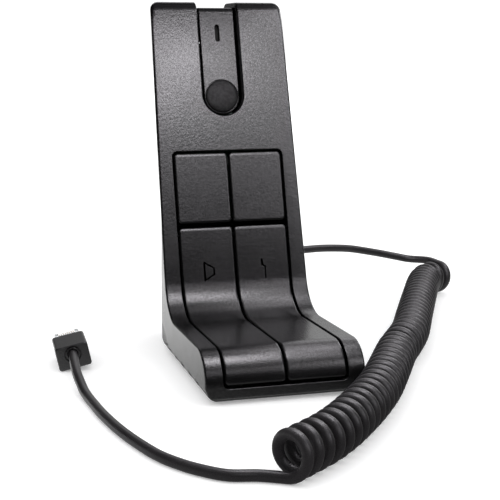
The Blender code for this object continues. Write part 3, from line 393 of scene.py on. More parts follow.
# ------------------------------------------------------------ housing envelope
def body_half_width(y, z):
    """Half width of the housing before edge rounding."""
    w = W_HALF - W_DRAFT * max(0.0, z - W_DRAFT_Z)
    front = column_y(z) + 2.5
    w -= REAR_TAPER * max(0.0, y - max(TAPER_Y, front))
    if z < BELLY_Z:
        w -= BELLY_R - math.sqrt(max(0.0, BELLY_R ** 2 - (BELLY_Z - z) ** 2))
    return w


# Edge rounding along the outline: station, radius
EDGE_STATIONS = (
    (S_COL1 - 6, EDGE_R), (S_COL1 + 10, TOP_CORNER_R), (TOP_BACK.start, TOP_CORNER_R),
    (TOP_BACK.end, TOP_CORNER_R + 1), (TOP_BACK.end + 25, REAR_EDGE_R),
    (HEEL.start - 20, REAR_EDGE_R), (HEEL.start, HEEL_EDGE_R), (HEEL.end, EDGE_R))


def edge_round(s):
    return float(np.interp(s, *zip(*EDGE_STATIONS)))


def inside(outline, y, z):
    hit = False
    n = len(outline)
    for i in range(n):
        y0, z0 = outline[i]
        y1, z1 = outline[(i + 1) % n]
        if (z0 > z) != (z1 > z) and y < (y1 - y0) * (z - z0) / (z1 - z0) + y0:
            hit = not hit
    return hit


def mirrored_solid(points, rim_count, rails, half_width):
    """Two mirrored side surfaces over (y, z) points, joined across the rim.
    The first rim_count points are the rim; rails are edges to keep."""
    flat, _, faces, *_ = delaunay_2d_cdt([Vector(p) for p in points], rails,
                                         [list(range(rim_count))], 1, 1e-5)
    bm = bmesh.new()
    sides = []
    for sign in (-1, 1):
        row = [bm.verts.new(put(sign * half_width(p.x, p.y), p.x, p.y)) for p in flat]
        sides.append(row)
        for face in faces:
            bm.faces.new([row[i] for i in face])
    uses = Counter((min(a, b), max(a, b)) for face in faces
                   for a, b in zip(face, list(face[1:]) + [face[0]]))
    for (a, b), count in uses.items():
        if count == 1:
            bm.faces.new((sides[0][a], sides[0][b], sides[1][b], sides[1][a]))
    return new_object(bm)


def outer_body():
    """Closed envelope of the housing with rounded side edges."""
    stations = OUTER.stations(4.0, 5.0)
    fine = OUTER.stations(2.0, 0.8)
    rim = np.array([tuple(OUTER.at(s)[0]) for s in fine])
    rim_next = np.roll(rim, -1, axis=0)
    radii = np.array([edge_round(s) for s in fine])
    radii_next = np.roll(radii, -1)

    def half_width(y, z):
        d = rim_next - rim
        q = np.array((y, z)) - rim
        t = np.clip((q * d).sum(1) / (d * d).sum(1), 0, 1)
        distances = np.linalg.norm(q - d * t[:, None], axis=1)
        i = int(distances.argmin())
        r = float(radii[i] + (radii_next[i] - radii[i]) * t[i])
        distance = float(distances[i])
        inset = 0.0
        if distance < r:
            inset = r - math.sqrt(max(0.0, r * r - (r - distance) ** 2))
        return body_half_width(y, z) - inset

    # the rim, then one rail of points for each step round the edge
    points, rails = [], []
    count = len(stations)
    for k, angle in enumerate((0.0, 22.5, 45.0, 67.5, 90.0)):
        first = k * count
        if k:
            rails += [(first + i, first + (i + 1) % count) for i in range(count)]
        for s in stations:
            p, normal = OUTER.at(s)
            q = p - normal * (edge_round(s) * (1 - math.cos(math.radians(angle))))
            points.append((q.x, q.y))
    # rows of extra points where the sides bend: belly rounding and taper line
    bends = [(6.0 + 14.0 * k, z) for z in (3.2, 4.2, 5.4, BELLY_Z) for k in range(9)]
    bends += [(TAPER_Y, 16.0 + 12.0 * k) for k in range(6)]
    bends += [(column_y(z) + 5.2, z) for z in (84.0 + 11.5 * k for k in range(7))]
    for y, z in bends:
        distances = np.linalg.norm(rim - np.array((y, z)), axis=1)
        i = int(distances.argmin())
        if distances[i] > radii[i] + 0.4 and inside(rim, y, z):
            points.append((y, z))
    return mirrored_solid(points, count, rails, half_width)


# Points (y, z) inside the core, where its sides bend
CORE_POINTS = (
    (89.0, 12.0), (89.0, 70.0), (104.0, 100.0), (122.0, 160.0), (20.0, 4.0),
    (55.0, 4.0), (85.0, 4.0), (20.0, 10.0), (55.0, 10.0), (124.0, 12.0),
    (124.0, 70.0), (128.0, 110.0), (139.0, 158.0), (130.0, 130.0))


def inner_body():
    """Core that hollows the housing out; it runs out through the underside."""
    path = Path(side_corners(WALL, floor=-6.0),
                [0.0, NOSE_R - WALL, FOOT_R + WALL, TOP_FRONT_R - WALL,
                 TOP_BACK_R - WALL, 0.0])
    rim = [tuple(path.at(s)[0]) for s in path.stations(15.0, 40.0)]

    def half_width(y, z):
        w = body_half_width(y, max(z, RIM_Z)) - WALL
        back = cross_point((0.0, z), (1.0, 0.0), (BACK_TOP_Y, TOP_Z), BACK_DIR)[0]
        d = back - y
        if d < REAR_EDGE_R:
            w -= 0.8 * (REAR_EDGE_R - math.sqrt(max(0.0, REAR_EDGE_R ** 2
                                                   - (REAR_EDGE_R - d) ** 2)))
        if z > 155.0:
            w -= 1.0
        return w

    return mirrored_solid(rim + list(CORE_POINTS), len(rim), [], half_width)


# ------------------------------------------------------- slabs on the outline
def patch(s0, s1, x0, x1, layers, corner, corner_steps, arc_deg=12.0, line_step=60.0,
          round_end=False):
    """A slab laid on the housing between two stations.  layers lists (depth,
    side inset, upper end inset) from the outside in; corner is the corner
    radius; round_end makes the lower end a half circle.  The flat slab is cut
    into strips and bent round the outline."""
    rings = []
    for depth, inset, inset_top in layers:
        a0, a1 = s0 + inset, s1 - inset_top
        b0, b1 = x0 + inset, x1 - inset
        r = max(corner - inset, 0.08)
        ring = []
        for cs, cx, start in ((a1 - r, b1 - r, 0), (a0 + r, b1 - r, 90),
                              (a0 + r, b0 + r, 180), (a1 - r, b0 + r, 270)):
            radius, n = r, corner_steps
            half_circle = round_end and start in (90, 180)
            if half_circle:
                radius = (b1 - b0) / 2
                cs = a0 + radius
                cx = (b0 + b1) / 2
                n *= 3
            # the second quarter of a half circle shares its first point
            for k in range(1 if half_circle and start == 180 else 0, n + 1):
                t = math.radians(start + 90.0 * k / n)
                ring.append((cs + radius * math.cos(t), cx + radius * math.sin(t), depth))
        rings.append(ring)
    bm = skin(rings)
    for s in OUTER.stations(arc_deg, line_step):
        if s0 + 0.05 < s < s1 - 0.05:
            bmesh.ops.bisect_plane(bm, geom=bm.verts[:] + bm.edges[:] + bm.faces[:],
                                   plane_co=(s, 0, 0), plane_no=(1, 0, 0), dist=1e-4)
    for v in bm.verts:
        s, x, depth = v.co
        p, normal = OUTER.at(s)
        q = p - normal * depth
        v.co = put(x, q.x, q.y)
    return new_object(bm)


def even_layers(rows, sink=0.0):
    """Patch layers from (depth below sink, inset on all sides)."""
    return [(sink + depth, inset, inset) for depth, inset in rows]


# ------------------------------------------------------------------ materials
def feed(tree, node, inputs):
    """Link or set each input of a node."""
    for key, value in inputs.items():
        if isinstance(value, bpy.types.NodeSocket):
            tree.links.new(value, node.inputs[key])
        else:
            node.inputs[key].default_value = value


def add_node(tree, kind, inputs=None, **settings):
    node = tree.nodes.new(kind)
    for key, value in settings.items():
        setattr(node, key, value)
    feed(tree, node, inputs or {})
    return node


def math_node(tree, operation, *values):
    return add_node(tree, "ShaderNodeMath", dict(enumerate(values)),
                    operation=operation).outputs[0]


def value_node(tree, label, value):
    node = add_node(tree, "ShaderNodeValue", name=label, label=label)
    node.outputs[0].default_value = value
    return node.outputs[0]


def map_range(tree, value, from_min=0.0, from_max=1.0, to_min=0.0, to_max=1.0,
              kind="LINEAR"):
    return add_node(tree, "ShaderNodeMapRange",
                    {"Value": value, "From Min": from_min, "From Max": from_max,
                     "To Min": to_min, "To Max": to_max},
                    interpolation_type=kind).outputs["Result"]


def noise(tree, place, scale, **inputs):
    return add_node(tree, "ShaderNodeTexNoise",
                    {"Vector": place, "Scale": scale, **inputs}).outputs["Fac"]


def colour_ramp(tree, factor, dark, light, start=0.0, end=1.0, kind="LINEAR"):
    node = add_node(tree, "ShaderNodeValToRGB", {"Fac": factor})
    ramp = node.color_ramp
    ramp.interpolation = kind
    for element, position, colour in zip(ramp.elements, (start, end), (dark, light)):
        element.position = position
        element.color = (*colour, 1)
    return node.outputs["Color"]


def millimetres(tree, stretch=(1, 1, 1)):
    """Object coordinates in millimetres."""
    coords = add_node(tree, "ShaderNodeTexCoord")
    return add_node(tree, "ShaderNodeMapping",
                    {"Vector": coords.outputs["Object"],
                     "Scale": tuple(1000.0 * s for s in stretch)}).outputs["Vector"]


def new_material(name):
    material = bpy.data.materials.new(name)
    material.use_nodes = True
    tree = material.node_tree
    return material, tree, tree.nodes["Principled BSDF"]


BLOTCH_SCALE = 0.055    # cells per mm of the mottling
GRIT = 0.11             # size of the finest grain, mm
CELL_SHARE = 0.55       # heights of the cells and the grit against the grain
GRIT_SHARE = 0.22
TOP_SHADE_GLOSS_CUT = -0.76         # painted shade: change of the gloss on up-facing tops where it is taken down fully


def top_shade_gloss(tree, gloss, place, height):
    """Painted shade: gloss taken down where the surface faces up above a height in mm, so the
    tops reflect less light.
    """
    geometry = add_node(tree, "ShaderNodeNewGeometry")
    facing = add_node(tree, "ShaderNodeSeparateXYZ", {0: geometry.outputs["Normal"]})
    position = add_node(tree, "ShaderNodeSeparateXYZ", {0: place})
    both = math_node(
        tree, "MULTIPLY",
        map_range(tree, facing.outputs["Z"], from_min=0.28, from_max=0.56,
                  kind="SMOOTHSTEP"),
        map_range(tree, position.outputs["Z"], from_min=height - 6.0, from_max=height,
                  kind="SMOOTHSTEP"))
    keep = math_node(tree, "MULTIPLY_ADD", both, TOP_SHADE_GLOSS_CUT, 1.0)
    return math_node(tree, "MULTIPLY", keep, gloss)


def moulded(name, base, rough, grain=0.42, grain_h=0.030, tint=0.35, sheen=0.0, spec=0.5,
            edge=0.0, top_shade_above=None):
    """Moulded plastic or rubber: grain, faint mottling in colour and gloss,
    softened micro edges, and a painted shade that takes the gloss down on
    up-facing tops above a given height.  grain, its height grain_h, edge and
    top_shade_above are in mm; with base None the colour is left to the caller."""
    material, tree, surface = new_material(name)
    place = millimetres(tree)
    blotches = noise(tree, place, BLOTCH_SCALE, Detail=4.0)
    grains = noise(tree, place, 1.0 / grain, Detail=2.5, Roughness=0.55)
    cells = add_node(tree, "ShaderNodeTexVoronoi",
                     {"Vector": place, "Scale": 0.55 / grain, "Smoothness": 0.6},
                     feature="SMOOTH_F1").outputs["Distance"]
    grit = noise(tree, place, 1.0 / GRIT, Detail=1.0)
    height = math_node(tree, "MULTIPLY_ADD", cells, CELL_SHARE, grains)
    height = math_node(tree, "MULTIPLY_ADD", grit, GRIT_SHARE, height)
    if base:
        colour = colour_ramp(tree, blotches, [c * (1 - tint * 0.5) for c in base],
                             [c * (1 + tint * 0.5) for c in base],
                             start=0.12, end=0.88, kind="EASE")
        feed(tree, surface, {"Base Color": colour})
    gloss = map_range(tree, grains, from_min=0.25, from_max=0.75,
                      to_min=spec * 0.72, to_max=spec * 1.28, kind="SMOOTHERSTEP")
    if top_shade_above is not None:
        gloss = top_shade_gloss(tree, gloss, place, top_shade_above)
    bump = {"Distance": grain_h * MM, "Height": height}
    if edge:
        bevel = add_node(tree, "ShaderNodeBevel", {"Radius": edge * MM}, samples=4)
        bump["Normal"] = bevel.outputs["Normal"]
    feed(tree, surface, {
        "Roughness": map_range(tree, blotches, from_min=0.1, from_max=0.9,
                               to_min=rough - 0.03, to_max=rough + 0.03,
                               kind="SMOOTHERSTEP"),
        "Specular IOR Level": gloss,
        "Normal": add_node(tree, "ShaderNodeBump", bump).outputs["Normal"]})
    if sheen:
        feed(tree, surface, {"Sheen Weight": sheen, "Sheen Roughness": 0.5})
    return material


def follow_pattern(tree, surface, pattern, colour, rough_min, rough_max, bump_h):
    """Tie colour, roughness and bumps of bump_h mm to one pattern."""
    bump = add_node(tree, "ShaderNodeBump", {"Distance": bump_h * MM, "Height": pattern})
    feed(tree, surface, {
        "Base Color": colour,
        "Roughness": map_range(tree, pattern, to_min=rough_min, to_max=rough_max),
        "Normal": bump.outputs["Normal"]})


def metal(name, colour, rough, stretch=(1, 1, 1), scale=0.8):
    material, tree, surface = new_material(name)
    feed(tree, surface, {"Metallic": 1.0})
    pattern = noise(tree, millimetres(tree, stretch), scale, Detail=5.0)
    shade = colour_ramp(tree, pattern, [c * 0.82 for c in colour], colour,
                        start=0.35, end=0.68)
    follow_pattern(tree, surface, pattern, shade,
                   rough_min=rough * 0.8, rough_max=rough * 1.25, bump_h=0.004)
    return material


def clear_plastic(name):
    material, tree, surface = new_material(name)
    feed(tree, surface, {"Transmission Weight": 0.92, "IOR": 1.586})
    pattern = noise(tree, millimetres(tree), 0.35, Detail=3.0)
    shade = colour_ramp(tree, pattern, dark=(0.88, 0.91, 0.93), light=(0.97, 0.98, 0.99))
    follow_pattern(tree, surface, pattern, shade,
                   rough_min=0.05, rough_max=0.16, bump_h=0.01)
    return material


def circuit_board(name):
    """Solder mask with a faint brick pattern of lighter lines."""
    material = moulded(name, base=None, rough=0.38, grain=1.2, grain_h=0.01)
    tree = material.node_tree
    brick = add_node(tree, "ShaderNodeTexBrick", {
        "Vector": millimetres(tree), "Scale": 0.3, "Mortar Size": 0.03,
        "Color1": (0.005, 0.030, 0.015, 1), "Color2": (0.004, 0.026, 0.013, 1),
        "Mortar": (0.010, 0.055, 0.028, 1)})
    feed(tree, tree.nodes["Principled BSDF"], {"Base Color": brick.outputs["Color"]})
    return material


BLACK = (0.0040, 0.0038, 0.0042)
HOUSING = dict(base=BLACK, rough=0.24, grain=0.72, grain_h=0.054, edge=0.18)
TOP_SHADE_Z = 156.0          # painted shade: the up-facing faces above this reflect less

# Finishes by slot
M = {
    # housing and panel carry a painted shade that takes the gloss down on their up-facing
    # tops
    "housing": moulded("abs_housing", **HOUSING, top_shade_above=TOP_SHADE_Z),
    "keys": moulded("abs_keys", base=(0.0034, 0.0032, 0.0036), rough=0.24, grain=0.70,
                    grain_h=0.038, edge=0.15),
    "mic_panel": moulded("abs_panel", base=BLACK, rough=0.26, grain=0.72, grain_h=0.048,
                         spec=0.40, edge=0.12, top_shade_above=TOP_SHADE_Z),
    "badge": moulded("badge_disc_grain", base=(0.0085, 0.0082, 0.0088), rough=0.44,
                     grain=1.5, grain_h=0.10, tint=0.8, spec=0.14, edge=0.15),
    "base": moulded("abs_base", **HOUSING),
    "rubber": moulded("boot_rubber", base=(0.0080, 0.0078, 0.0084), rough=0.42,
                      grain=0.30, grain_h=0.015, edge=0.20),
    "feet": moulded("pad_rubber", base=(0.022, 0.022, 0.022), rough=0.85, grain=0.7,
                    grain_h=0.06),
    "cord": moulded("cord_jacket", base=(0.0150, 0.0132, 0.0150), rough=0.40, grain=0.35,
                    grain_h=0.012, tint=0.5),
    "clear_plug": clear_plastic("polycarbonate"),
    "contacts": metal("gold_plate", colour=(0.86, 0.62, 0.22), rough=0.22),
    "steel": metal("zinc_steel", colour=(0.60, 0.60, 0.62), rough=0.30, stretch=(1, 1, 6)),
    "pin": metal("black_oxide", colour=(0.020, 0.020, 0.021), rough=0.50,
                 stretch=(1, 1, 6)),
    "ballast": metal("ground_steel", colour=(0.33, 0.33, 0.34), rough=0.42,
                     stretch=(8, 1, 1), scale=0.5),
    "board": circuit_board("solder_mask"),
    "switch": moulded("switch_body", base=(0.04, 0.04, 0.042), rough=0.5, grain=0.5,
                      grain_h=0.01),
    "connector": moulded("nylon", base=(0.70, 0.68, 0.62), rough=0.5, grain=0.6,
                         grain_h=0.01, tint=0.1),
    "screen": moulded("felt_screen", base=(0.02, 0.02, 0.02), rough=0.95, grain=0.25,
                      grain_h=0.12, sheen=0.5),
    # painted shade: near-black with no gloss on the engraved recesses of the signs
    "sign": moulded("sign_recess_painted_shade", base=(0.0004, 0.0004, 0.0004), rough=0.85, grain=0.5,
                    grain_h=0.02, spec=0.0),
    "capsule": metal("aluminium_can", colour=(0.78, 0.78, 0.79), rough=0.28,
                     stretch=(1, 1, 4)),
}


def finish_piece(ob, node, material, body="housing", smooth=32.0):
    """Name the piece after its CAD node, hide that node, and give the piece its finish,
    smooth shading and body."""
    ob.name = "vis_" + node
    mesh = ob.data
    mesh.name = ob.name
    mesh.materials.clear()
    mesh.materials.append(M[material])
    mesh.polygons.foreach_set("material_index", [0] * len(mesh.polygons))
    mesh.shade_smooth()
    mesh.set_sharp_from_angle(angle=math.radians(smooth))
    weighted = ob.modifiers.new("weighted", "WEIGHTED_NORMAL")
    weighted.keep_sharp = True
    weighted.weight = 60
    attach(ob, body)
    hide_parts(node)


# --------------------------------------------------------------------- housings
# Softened rim of the keypad opening: depth, inset
KEYPAD_RIM = ((-0.6, -0.42), (0.0, -0.36), (0.05, -0.20), (0.16, -0.07), (0.36, 0.0),
              (4.2, 0.0))
# Softened rim of the channel: depth, inset
CHANNEL_RIM = ((-0.9, -0.90), (0.0, -0.70), (0.06, -0.45), (0.22, -0.2), (0.45, -0.06),
               (0.75, 0.0))
# Floor of the channel: depth, side inset, upper end inset
CHANNEL_FLOOR = [(2.8, 0.55, 0.3), (4.2, 0.6, 0.3)]
# Bearing of the lever pin: height above the pin, depth
BEARING = ((-4.0, 1.6), (4.0, 1.6), (3.2, 9.6), (-3.2, 9.6))


def cut_openings(shell):
    combine(shell, patch(nose_s(OPEN_BOTTOM_Z), col_s(OPEN_TOP_Z), -OPEN_HALF, OPEN_HALF,
                         even_layers(KEYPAD_RIM), 2.6, corner_steps=8, arc_deg=4.0,
                         line_step=12.0))
    combine(shell, patch(CH_S0, CH_S1, -CH_HALF, CH_HALF,
                         even_layers(CHANNEL_RIM) + CHANNEL_FLOOR, 2.0, corner_steps=8,
                         arc_deg=4.0, line_step=12.0, round_end=True))
    # the hole for the cord's bush
    combine(shell, rod((0, 120, CORD_EXIT_Z), BACKWARD, length=30, radius=4.6, sides=48))


def seam_outline(shift, far):
    """Everything on one side of the seam; far is a y beyond that side."""
    foot_y = TAPER_Y + shift
    low = col_point(COL_Z + 1.5, SPLIT + shift)
    high = col_point(175.0, SPLIT + shift)
    return [(far, -10.0), (foot_y, -10.0), (foot_y, COL_Z - 2.2), low, high, (far, high[1])]


def screw_boss(housing, x, y, rib_low, rib_high):
    """Bored boss with a rib between two (y, z) corners."""
    combine(housing, rod((x, y, 3.0), UP, length=8.9, radius=3.4, sides=32), "UNION")
    combine(housing, block((x - 1.0, *rib_low), (x + 1.0, *rib_high)), "UNION")
    combine(housing, rod((x, y, 0.0), UP, length=11.0, radius=SCREW_BORE, sides=24))


def pin_bearing(housing, side):
    combine(housing, prism_yz(pin_outline(BEARING), side * 27.9, side * 29.9), "UNION")
    y, z = col_point(PIN_Z_ON_FACE, PIN_DEPTH)
    combine(housing, rod((side * 26.0, y, z), (side, 0, 0), length=6.0, radius=PIN_BORE,
                         sides=24))


def build_housings():
    """Front and rear housing; returns the base pan cut from the same shell."""
    shell = outer_body()
    combine(shell, inner_body())
    pan = duplicate(shell)
    combine(pan, block((-FAR, PAN_Y + 0.3, -10), (FAR, 200, PAN_Z0)), "INTERSECT")
    combine(shell, block((-FAR, PAN_Y, -10), (FAR, 200, PAN_Z1)))
    cut_openings(shell)
    rear = duplicate(shell)
    combine(shell, prism_yz(seam_outline(-SEAM / 2, -20.0), -FAR, FAR), "INTERSECT")
    combine(rear, prism_yz(seam_outline(SEAM / 2, 190.0), -FAR, FAR), "INTERSECT")
    for side in (-1, 1):
        screw_boss(shell, side * SCREW_X_FRONT, SCREW_Y_FRONT, (2.0, 3.0), (6.5, 6.2))
        screw_boss(rear, side * SCREW_X_REAR, SCREW_Y_REAR, (123.4, 6.6), (129.0, 11.4))
        pin_bearing(shell, side)
    finish_piece(shell, "front_housing", "housing")
    finish_piece(rear, "rear_housing", "housing")
    return pan


# ------------------------------------------------------------------------- base
# Plan of the base: y, extra inset of the half width
BASE_PLAN = [(y, 0.0) for y in (PAN_Y + 0.5, 12.0, 20.0, 40.0, 60.0, 80.0, 89.0, 98.0,
                                108.0, 116.0, 122.0)] + [(126.0, 0.8), (128.0, 3.0)]
# Layers of the base: shrink in x, shrink in y, z
BASE_LAYERS = ((0.09, 0.02, 0.5), (0.065, 0.014, 0.75), (0.04, 0.008, 1.2),
               (0.018, 0.003, 1.6), (0.0, 0.0, 2.0), (0.0, 0.0, 2.7))
# Turned profiles: distance along the axis, radius
COUNTERBORE = ((0, 3.45), (0.6, 3.3), (1.5, 3.3), (1.5001, SCREW_BORE), (4, SCREW_BORE))
SCREW_PROFILE = ((0, 1.6), (0.05, 2.2), (0.2, 2.65), (0.35, 2.8), (0.65, 2.8),
                 (0.6501, 1.45), (9.0, 1.45), (10.0, 0.8))


def pad_slab(grow, layers):
    """The pad's rounded rectangle, grown all round; layers lists (inset, z)."""
    r = PAD_CORNER_R + grow
    x = PAD_HALF_X + grow - r
    y = PAD_HALF_Y + grow - r
    return loft([[(px, py, z) for px, py in
                  rounded_rect(-x, x, Y_MID - y, Y_MID + y, r - inset, 4)]
                 for inset, z in layers])


def build_base_plate(pan):
    right = [(body_half_width(y, 2.7) - 0.3 - inset, y) for y, inset in BASE_PLAN]
    outline = right + [(-x, y) for x, y in right[::-1]]
    base = loft([[(x * (1 - shrink_x), Y_MID + (y - Y_MID) * (1 - shrink_y), z)
                  for x, y in outline] for shrink_x, shrink_y, z in BASE_LAYERS])
    combine(base, pan, "UNION")
    for x, y in SCREWS:
        combine(base, turned((x, y, 0.0), UP, COUNTERBORE, 40))
    combine(base, pad_slab(PAD_GAP, [(0.0, -0.5), (0.0, 1.3)]))
    for y in (23.0, 56.0):                       # bored posts inside
        combine(base, rod((0, y, 1.9), UP, length=6.2, radius=3.2, sides=32), "UNION")
        combine(base, rod((0, y, 2.6), UP, length=6.0, radius=1.3, sides=20))
    finish_piece(base, "base_plate", "base")


def build_foot_pad():
    pad = pad_slab(0.0, [(0.35, 0.0), (0.1, 0.1), (0.0, 0.3), (0.0, 1.0)])
    # thirteen grooves across the underside
    for k in range(13):
        y = Y_MID - 36.0 + 6.0 * k
        combine(pad, block((-18.0, y - 0.7, -1.0), (18.0, y + 0.7, 0.35)))
    finish_piece(pad, "foot_pad", "feet")


def build_base_screws():
    """Pan-head screws with a cross recess."""
    for k, (x, y) in enumerate(SCREWS):
        screw = turned((x, y, 0.55), UP, SCREW_PROFILE, 40)
        for half_x, half_y in ((1.5, 0.28), (0.28, 1.5)):
            combine(screw, block((x - half_x, y - half_y, 0.2),
                                 (x + half_x, y + half_y, 1.0)))
        finish_piece(screw, f"base_screw_{k + 1}", "steel")


# ------------------------------------------------------------------------- keys
# Soft key edge, then a straight side: depth, inset, share of the upper
# end's extra bevel
KEY_EDGE = ((0.0, 1.05, 1.0), (0.03, 0.72, 0.72), (0.12, 0.42, 0.42), (0.28, 0.20, 0.18),
            (0.52, 0.06, 0.05), (0.85, 0.0, 0.0), (KEY_T, 0.0, 0.0))
# Ears that carry the lever on its pin: height above the pin, depth
EAR = ((-3.4, KEY_T - 0.5), (1.8, KEY_T - 0.5), (2.4, PIN_DEPTH + 1.0),
       (1.2, PIN_DEPTH + 3.2), (-1.6, PIN_DEPTH + 3.2), (-3.0, PIN_DEPTH + 0.6))
# Engraved signs by side, a loudspeaker and a bolt: stroke width, (x, face height)
SIGNS = {
    -1: ((0.75, ((-15.4, 44.0), (-10.9, 41.4), (-10.9, 38.4), (-15.4, 36.0),
                 (-15.4, 44.0))),
         (0.85, ((-15.5, 43.6), (-15.5, 36.4)))),
    1: ((1.05, ((12.9, 44.0), (13.1, 41.9))),
        (0.75, ((13.1, 41.8), (14.5, 40.95))),
        (0.55, ((14.35, 41.0), (14.35, 35.6)))),
}
SIGN_DEPTH = 0.7


def key_slab(s0, s1, side, bevel_top, corner):
    layers = [(depth, inset, inset + bevel_top * share) for depth, inset, share in KEY_EDGE]
    x0, x1 = sorted((side * KEY_IN, side * KEY_OUT))
    return patch(s0, s1, x0, x1, layers, corner, corner_steps=7, arc_deg=3.0, line_step=6.0)


def engrave(ob, points, width):
    """Square-section strokes along points (x, face height)."""
    for start, end in zip(points, points[1:]):
        start, end = Vector(start), Vector(end)
        along = end - start
        along.normalize()
        across = Vector((-along.y, along.x)) * width / 2
        start = start - along * width / 2
        end = end + along * width / 2
        corners = [start - across, end - across, end + across, start + across]
        combine(ob, loft([[(q.x, *col_point(q.y, depth)) for q in corners]
                          for depth in (-1.0, SIGN_DEPTH)]))


def paint_sign_shade(lever):
    """Painted shade: the faces of the engraving get a near-black with no gloss, for the shade
    in the recess.
    """
    lever.data.materials.append(M["sign"])
    y0, z0 = col_point(40.0)
    for face in lever.data.polygons:
        x, y, z = (face.center.x * 1000, face.center.y * 1000 + Y_MID,
                   face.center.z * 1000)
        depth = (y - y0) * math.cos(LEAN) - (z - z0) * math.sin(LEAN)
        if 10.0 < abs(x) < 16.6 and 34.5 < z < 45.5 and 0.1 < depth < 1.1:
            face.material_index = 1


def build_upper_button(name, side):
    button = key_slab(col_s(UPPER_Z0), col_s(UPPER_Z1), side, bevel_top=0.5, corner=1.9)
    y, z = col_point(78.5, KEY_T - 0.4)
    stem = turned((side * (KEY_IN + KEY_OUT) / 2, y, z), INWARD,
                  [(0, 3.2), (3.0, 3.2), (3.01, 2.2), (4.2, 2.2)], 28)
    combine(button, stem, "UNION")
    finish_piece(button, name, "keys", body=name)


def build_lever(name, side):
    lever = key_slab(nose_s(LEVER_Z0), col_s(LEVER_Z1), side, bevel_top=0.75, corner=1.6)
    for x in (6.0, 20.5):
        combine(lever, prism_yz(pin_outline(EAR), side * x, side * (x + 3.0)), "UNION")
    y, z = col_point(PIN_Z_ON_FACE, PIN_DEPTH)
    combine(lever, rod((side * 1.0, y, z), (side, 0, 0), length=26.0, radius=PIN_BORE,
                       sides=24))
    # two studs under the seat: y, z, radius
    for y, z, radius in ((44.0, 15.9, 2.3), (28.0, 16.6, 1.7)):
        combine(lever, rod((side * 13.4, y, z), UP, length=2.9, radius=radius, sides=24),
                "UNION")
    for width, points in SIGNS[side]:
        engrave(lever, points, width)
    finish_piece(lever, name, "keys", body=name)
    paint_sign_shade(lever)


# ------------------------------------------------------------ microphone panel
# Depth below the panel's face, inset
TONGUE_EDGE = ((0.0, 0.6), (0.03, 0.40), (0.11, 0.22), (0.24, 0.09), (0.42, 0.02),
               (0.6, 0.0), (TONGUE_T, 0.0))
SLOT_EDGE = ((-1.0, -0.34), (0.0, -0.3), (0.06, -0.16), (0.2, -0.04), (0.36, 0.0),
             (4.0, 0.0))
SLOT_Z = 151.9
# Domed disc: distance along the axis, radius
DISC_PROFILE = ((0, 0.6), (0.006, 1.6), (0.03, 2.9), (0.075, 4.1), (0.14, 5.1),
                (0.24, 6.0), (0.36, 6.75), (0.5, 7.3), (0.64, 7.65), (0.8, 7.88),
                (1.0, DISC_R), (1.6, DISC_R))


def build_panel():
    tongue = patch(CH_S0 + (CH_HALF - TONGUE_HALF), CH_S1 - 0.8, 0.1 - TONGUE_HALF,
                   TONGUE_HALF - 0.25, even_layers(TONGUE_EDGE, TONGUE_SINK), 1.6,
                   corner_steps=8, arc_deg=4.0, line_step=8.0, round_end=True)
    slot_s = col_s(SLOT_Z)
    combine(tongue, patch(slot_s - 4.05, slot_s + 4.05, -1.1, 0.8,
                          even_layers(SLOT_EDGE, TONGUE_SINK), 0.85, corner_steps=6))
    # round seat for the disc
    seat = (0, *col_point(CH_Z, TONGUE_SINK - 1.0))
    combine(tongue, rod(seat, INWARD, length=2.0, radius=DISC_R + 0.3, sides=96))
    finish_piece(tongue, "mic_panel", "mic_panel")


def build_disc():
    disc = turned((0, *col_point(CH_Z, TONGUE_SINK - 0.9)), INWARD, DISC_PROFILE, 96)
    finish_piece(disc, "badge_disc", "badge", smooth=50)


# ------------------------------------------------------------------------- cord
# Lie of the cord on the desk.  Axis of the coil, (x, y)
COIL_AXIS = ((-28.1, -88.3), (-7.0, -71.2), (12.5, -48.8), (31.3, -22.7), (48.1, 6.2),
             (60.8, 28.8), (69.0, 41.5), (80.6, 60.2), (97.2, 92.8), (120.5, 138.4),
             (132.5, 161.5), (140.5, 173.8), (151.0, 181.0))
# From the plug's boot to the coil, (x, y, z)
NEAR_TAIL = [
    (-80.23, 72.9, 8.46), (-80.54, 66.0, 8.46), (-80.8, 60.8, 8.42), (-81.5, 53.5, 7.9),
    (-81.8, 46.5, 6.9), (-81.8, 40.0, 5.7), (-81.4, 33.5, 4.2), (-81.0, 26.7, 3.0),
    (-80.2, 19.0, 2.3), (-79.3, 10.0, 2.2), (-77.9, -3.5, 2.2), (-74.4, -24.5, 2.2),
    (-70.0, -42.3, 2.2), (-65.4, -56.2, 2.2), (-60.2, -65.9, 2.2), (-54.6, -73.4, 2.2),
    (-46.8, -80.6, 2.2)]
# From the coil to the back of the housing and into it, (x, y, z)
FAR_TAIL = [
    (137.5, 195.0, 17.9), (128.9, 195.5, 19.8), (119.0, 194.5, 22.2),
    (108.4, 192.0, 24.7), (97.6, 188.5, 27.1), (85.5, 183.0, 29.0), (74.2, 178.0, 30.2),
    (63.6, 172.5, 31.0), (40.0, 163.0, 33.6), (18.0, 156.5, 35.6), (6.0, 152.8, 36.8),
    (0.0, 148.0, CORD_EXIT_Z), (0.0, 142.0, CORD_EXIT_Z), (0.0, 120.5, CORD_EXIT_Z)]
# Bush: distance along the axis, radius; a collar and a neck, four ribs that
# get smaller to the back, a rounded end
BUSH_PROFILE = [(0, 5.6), (2.3, 5.6), (2.3001, 4.2), (7.0, 4.2), (7.8, 4.15)]
for k in range(4):
    BUSH_PROFILE += [(8.2 + 3.2 * k, 4.15 - 0.22 * k), (8.5 + 3.2 * k, 3.35 - 0.2 * k),
                     (9.6 + 3.2 * k, 3.35 - 0.2 * k), (9.9 + 3.2 * k, 4.0 - 0.22 * k)]
BUSH_PROFILE += [(21.4, 3.3), (22.0, 3.0)]


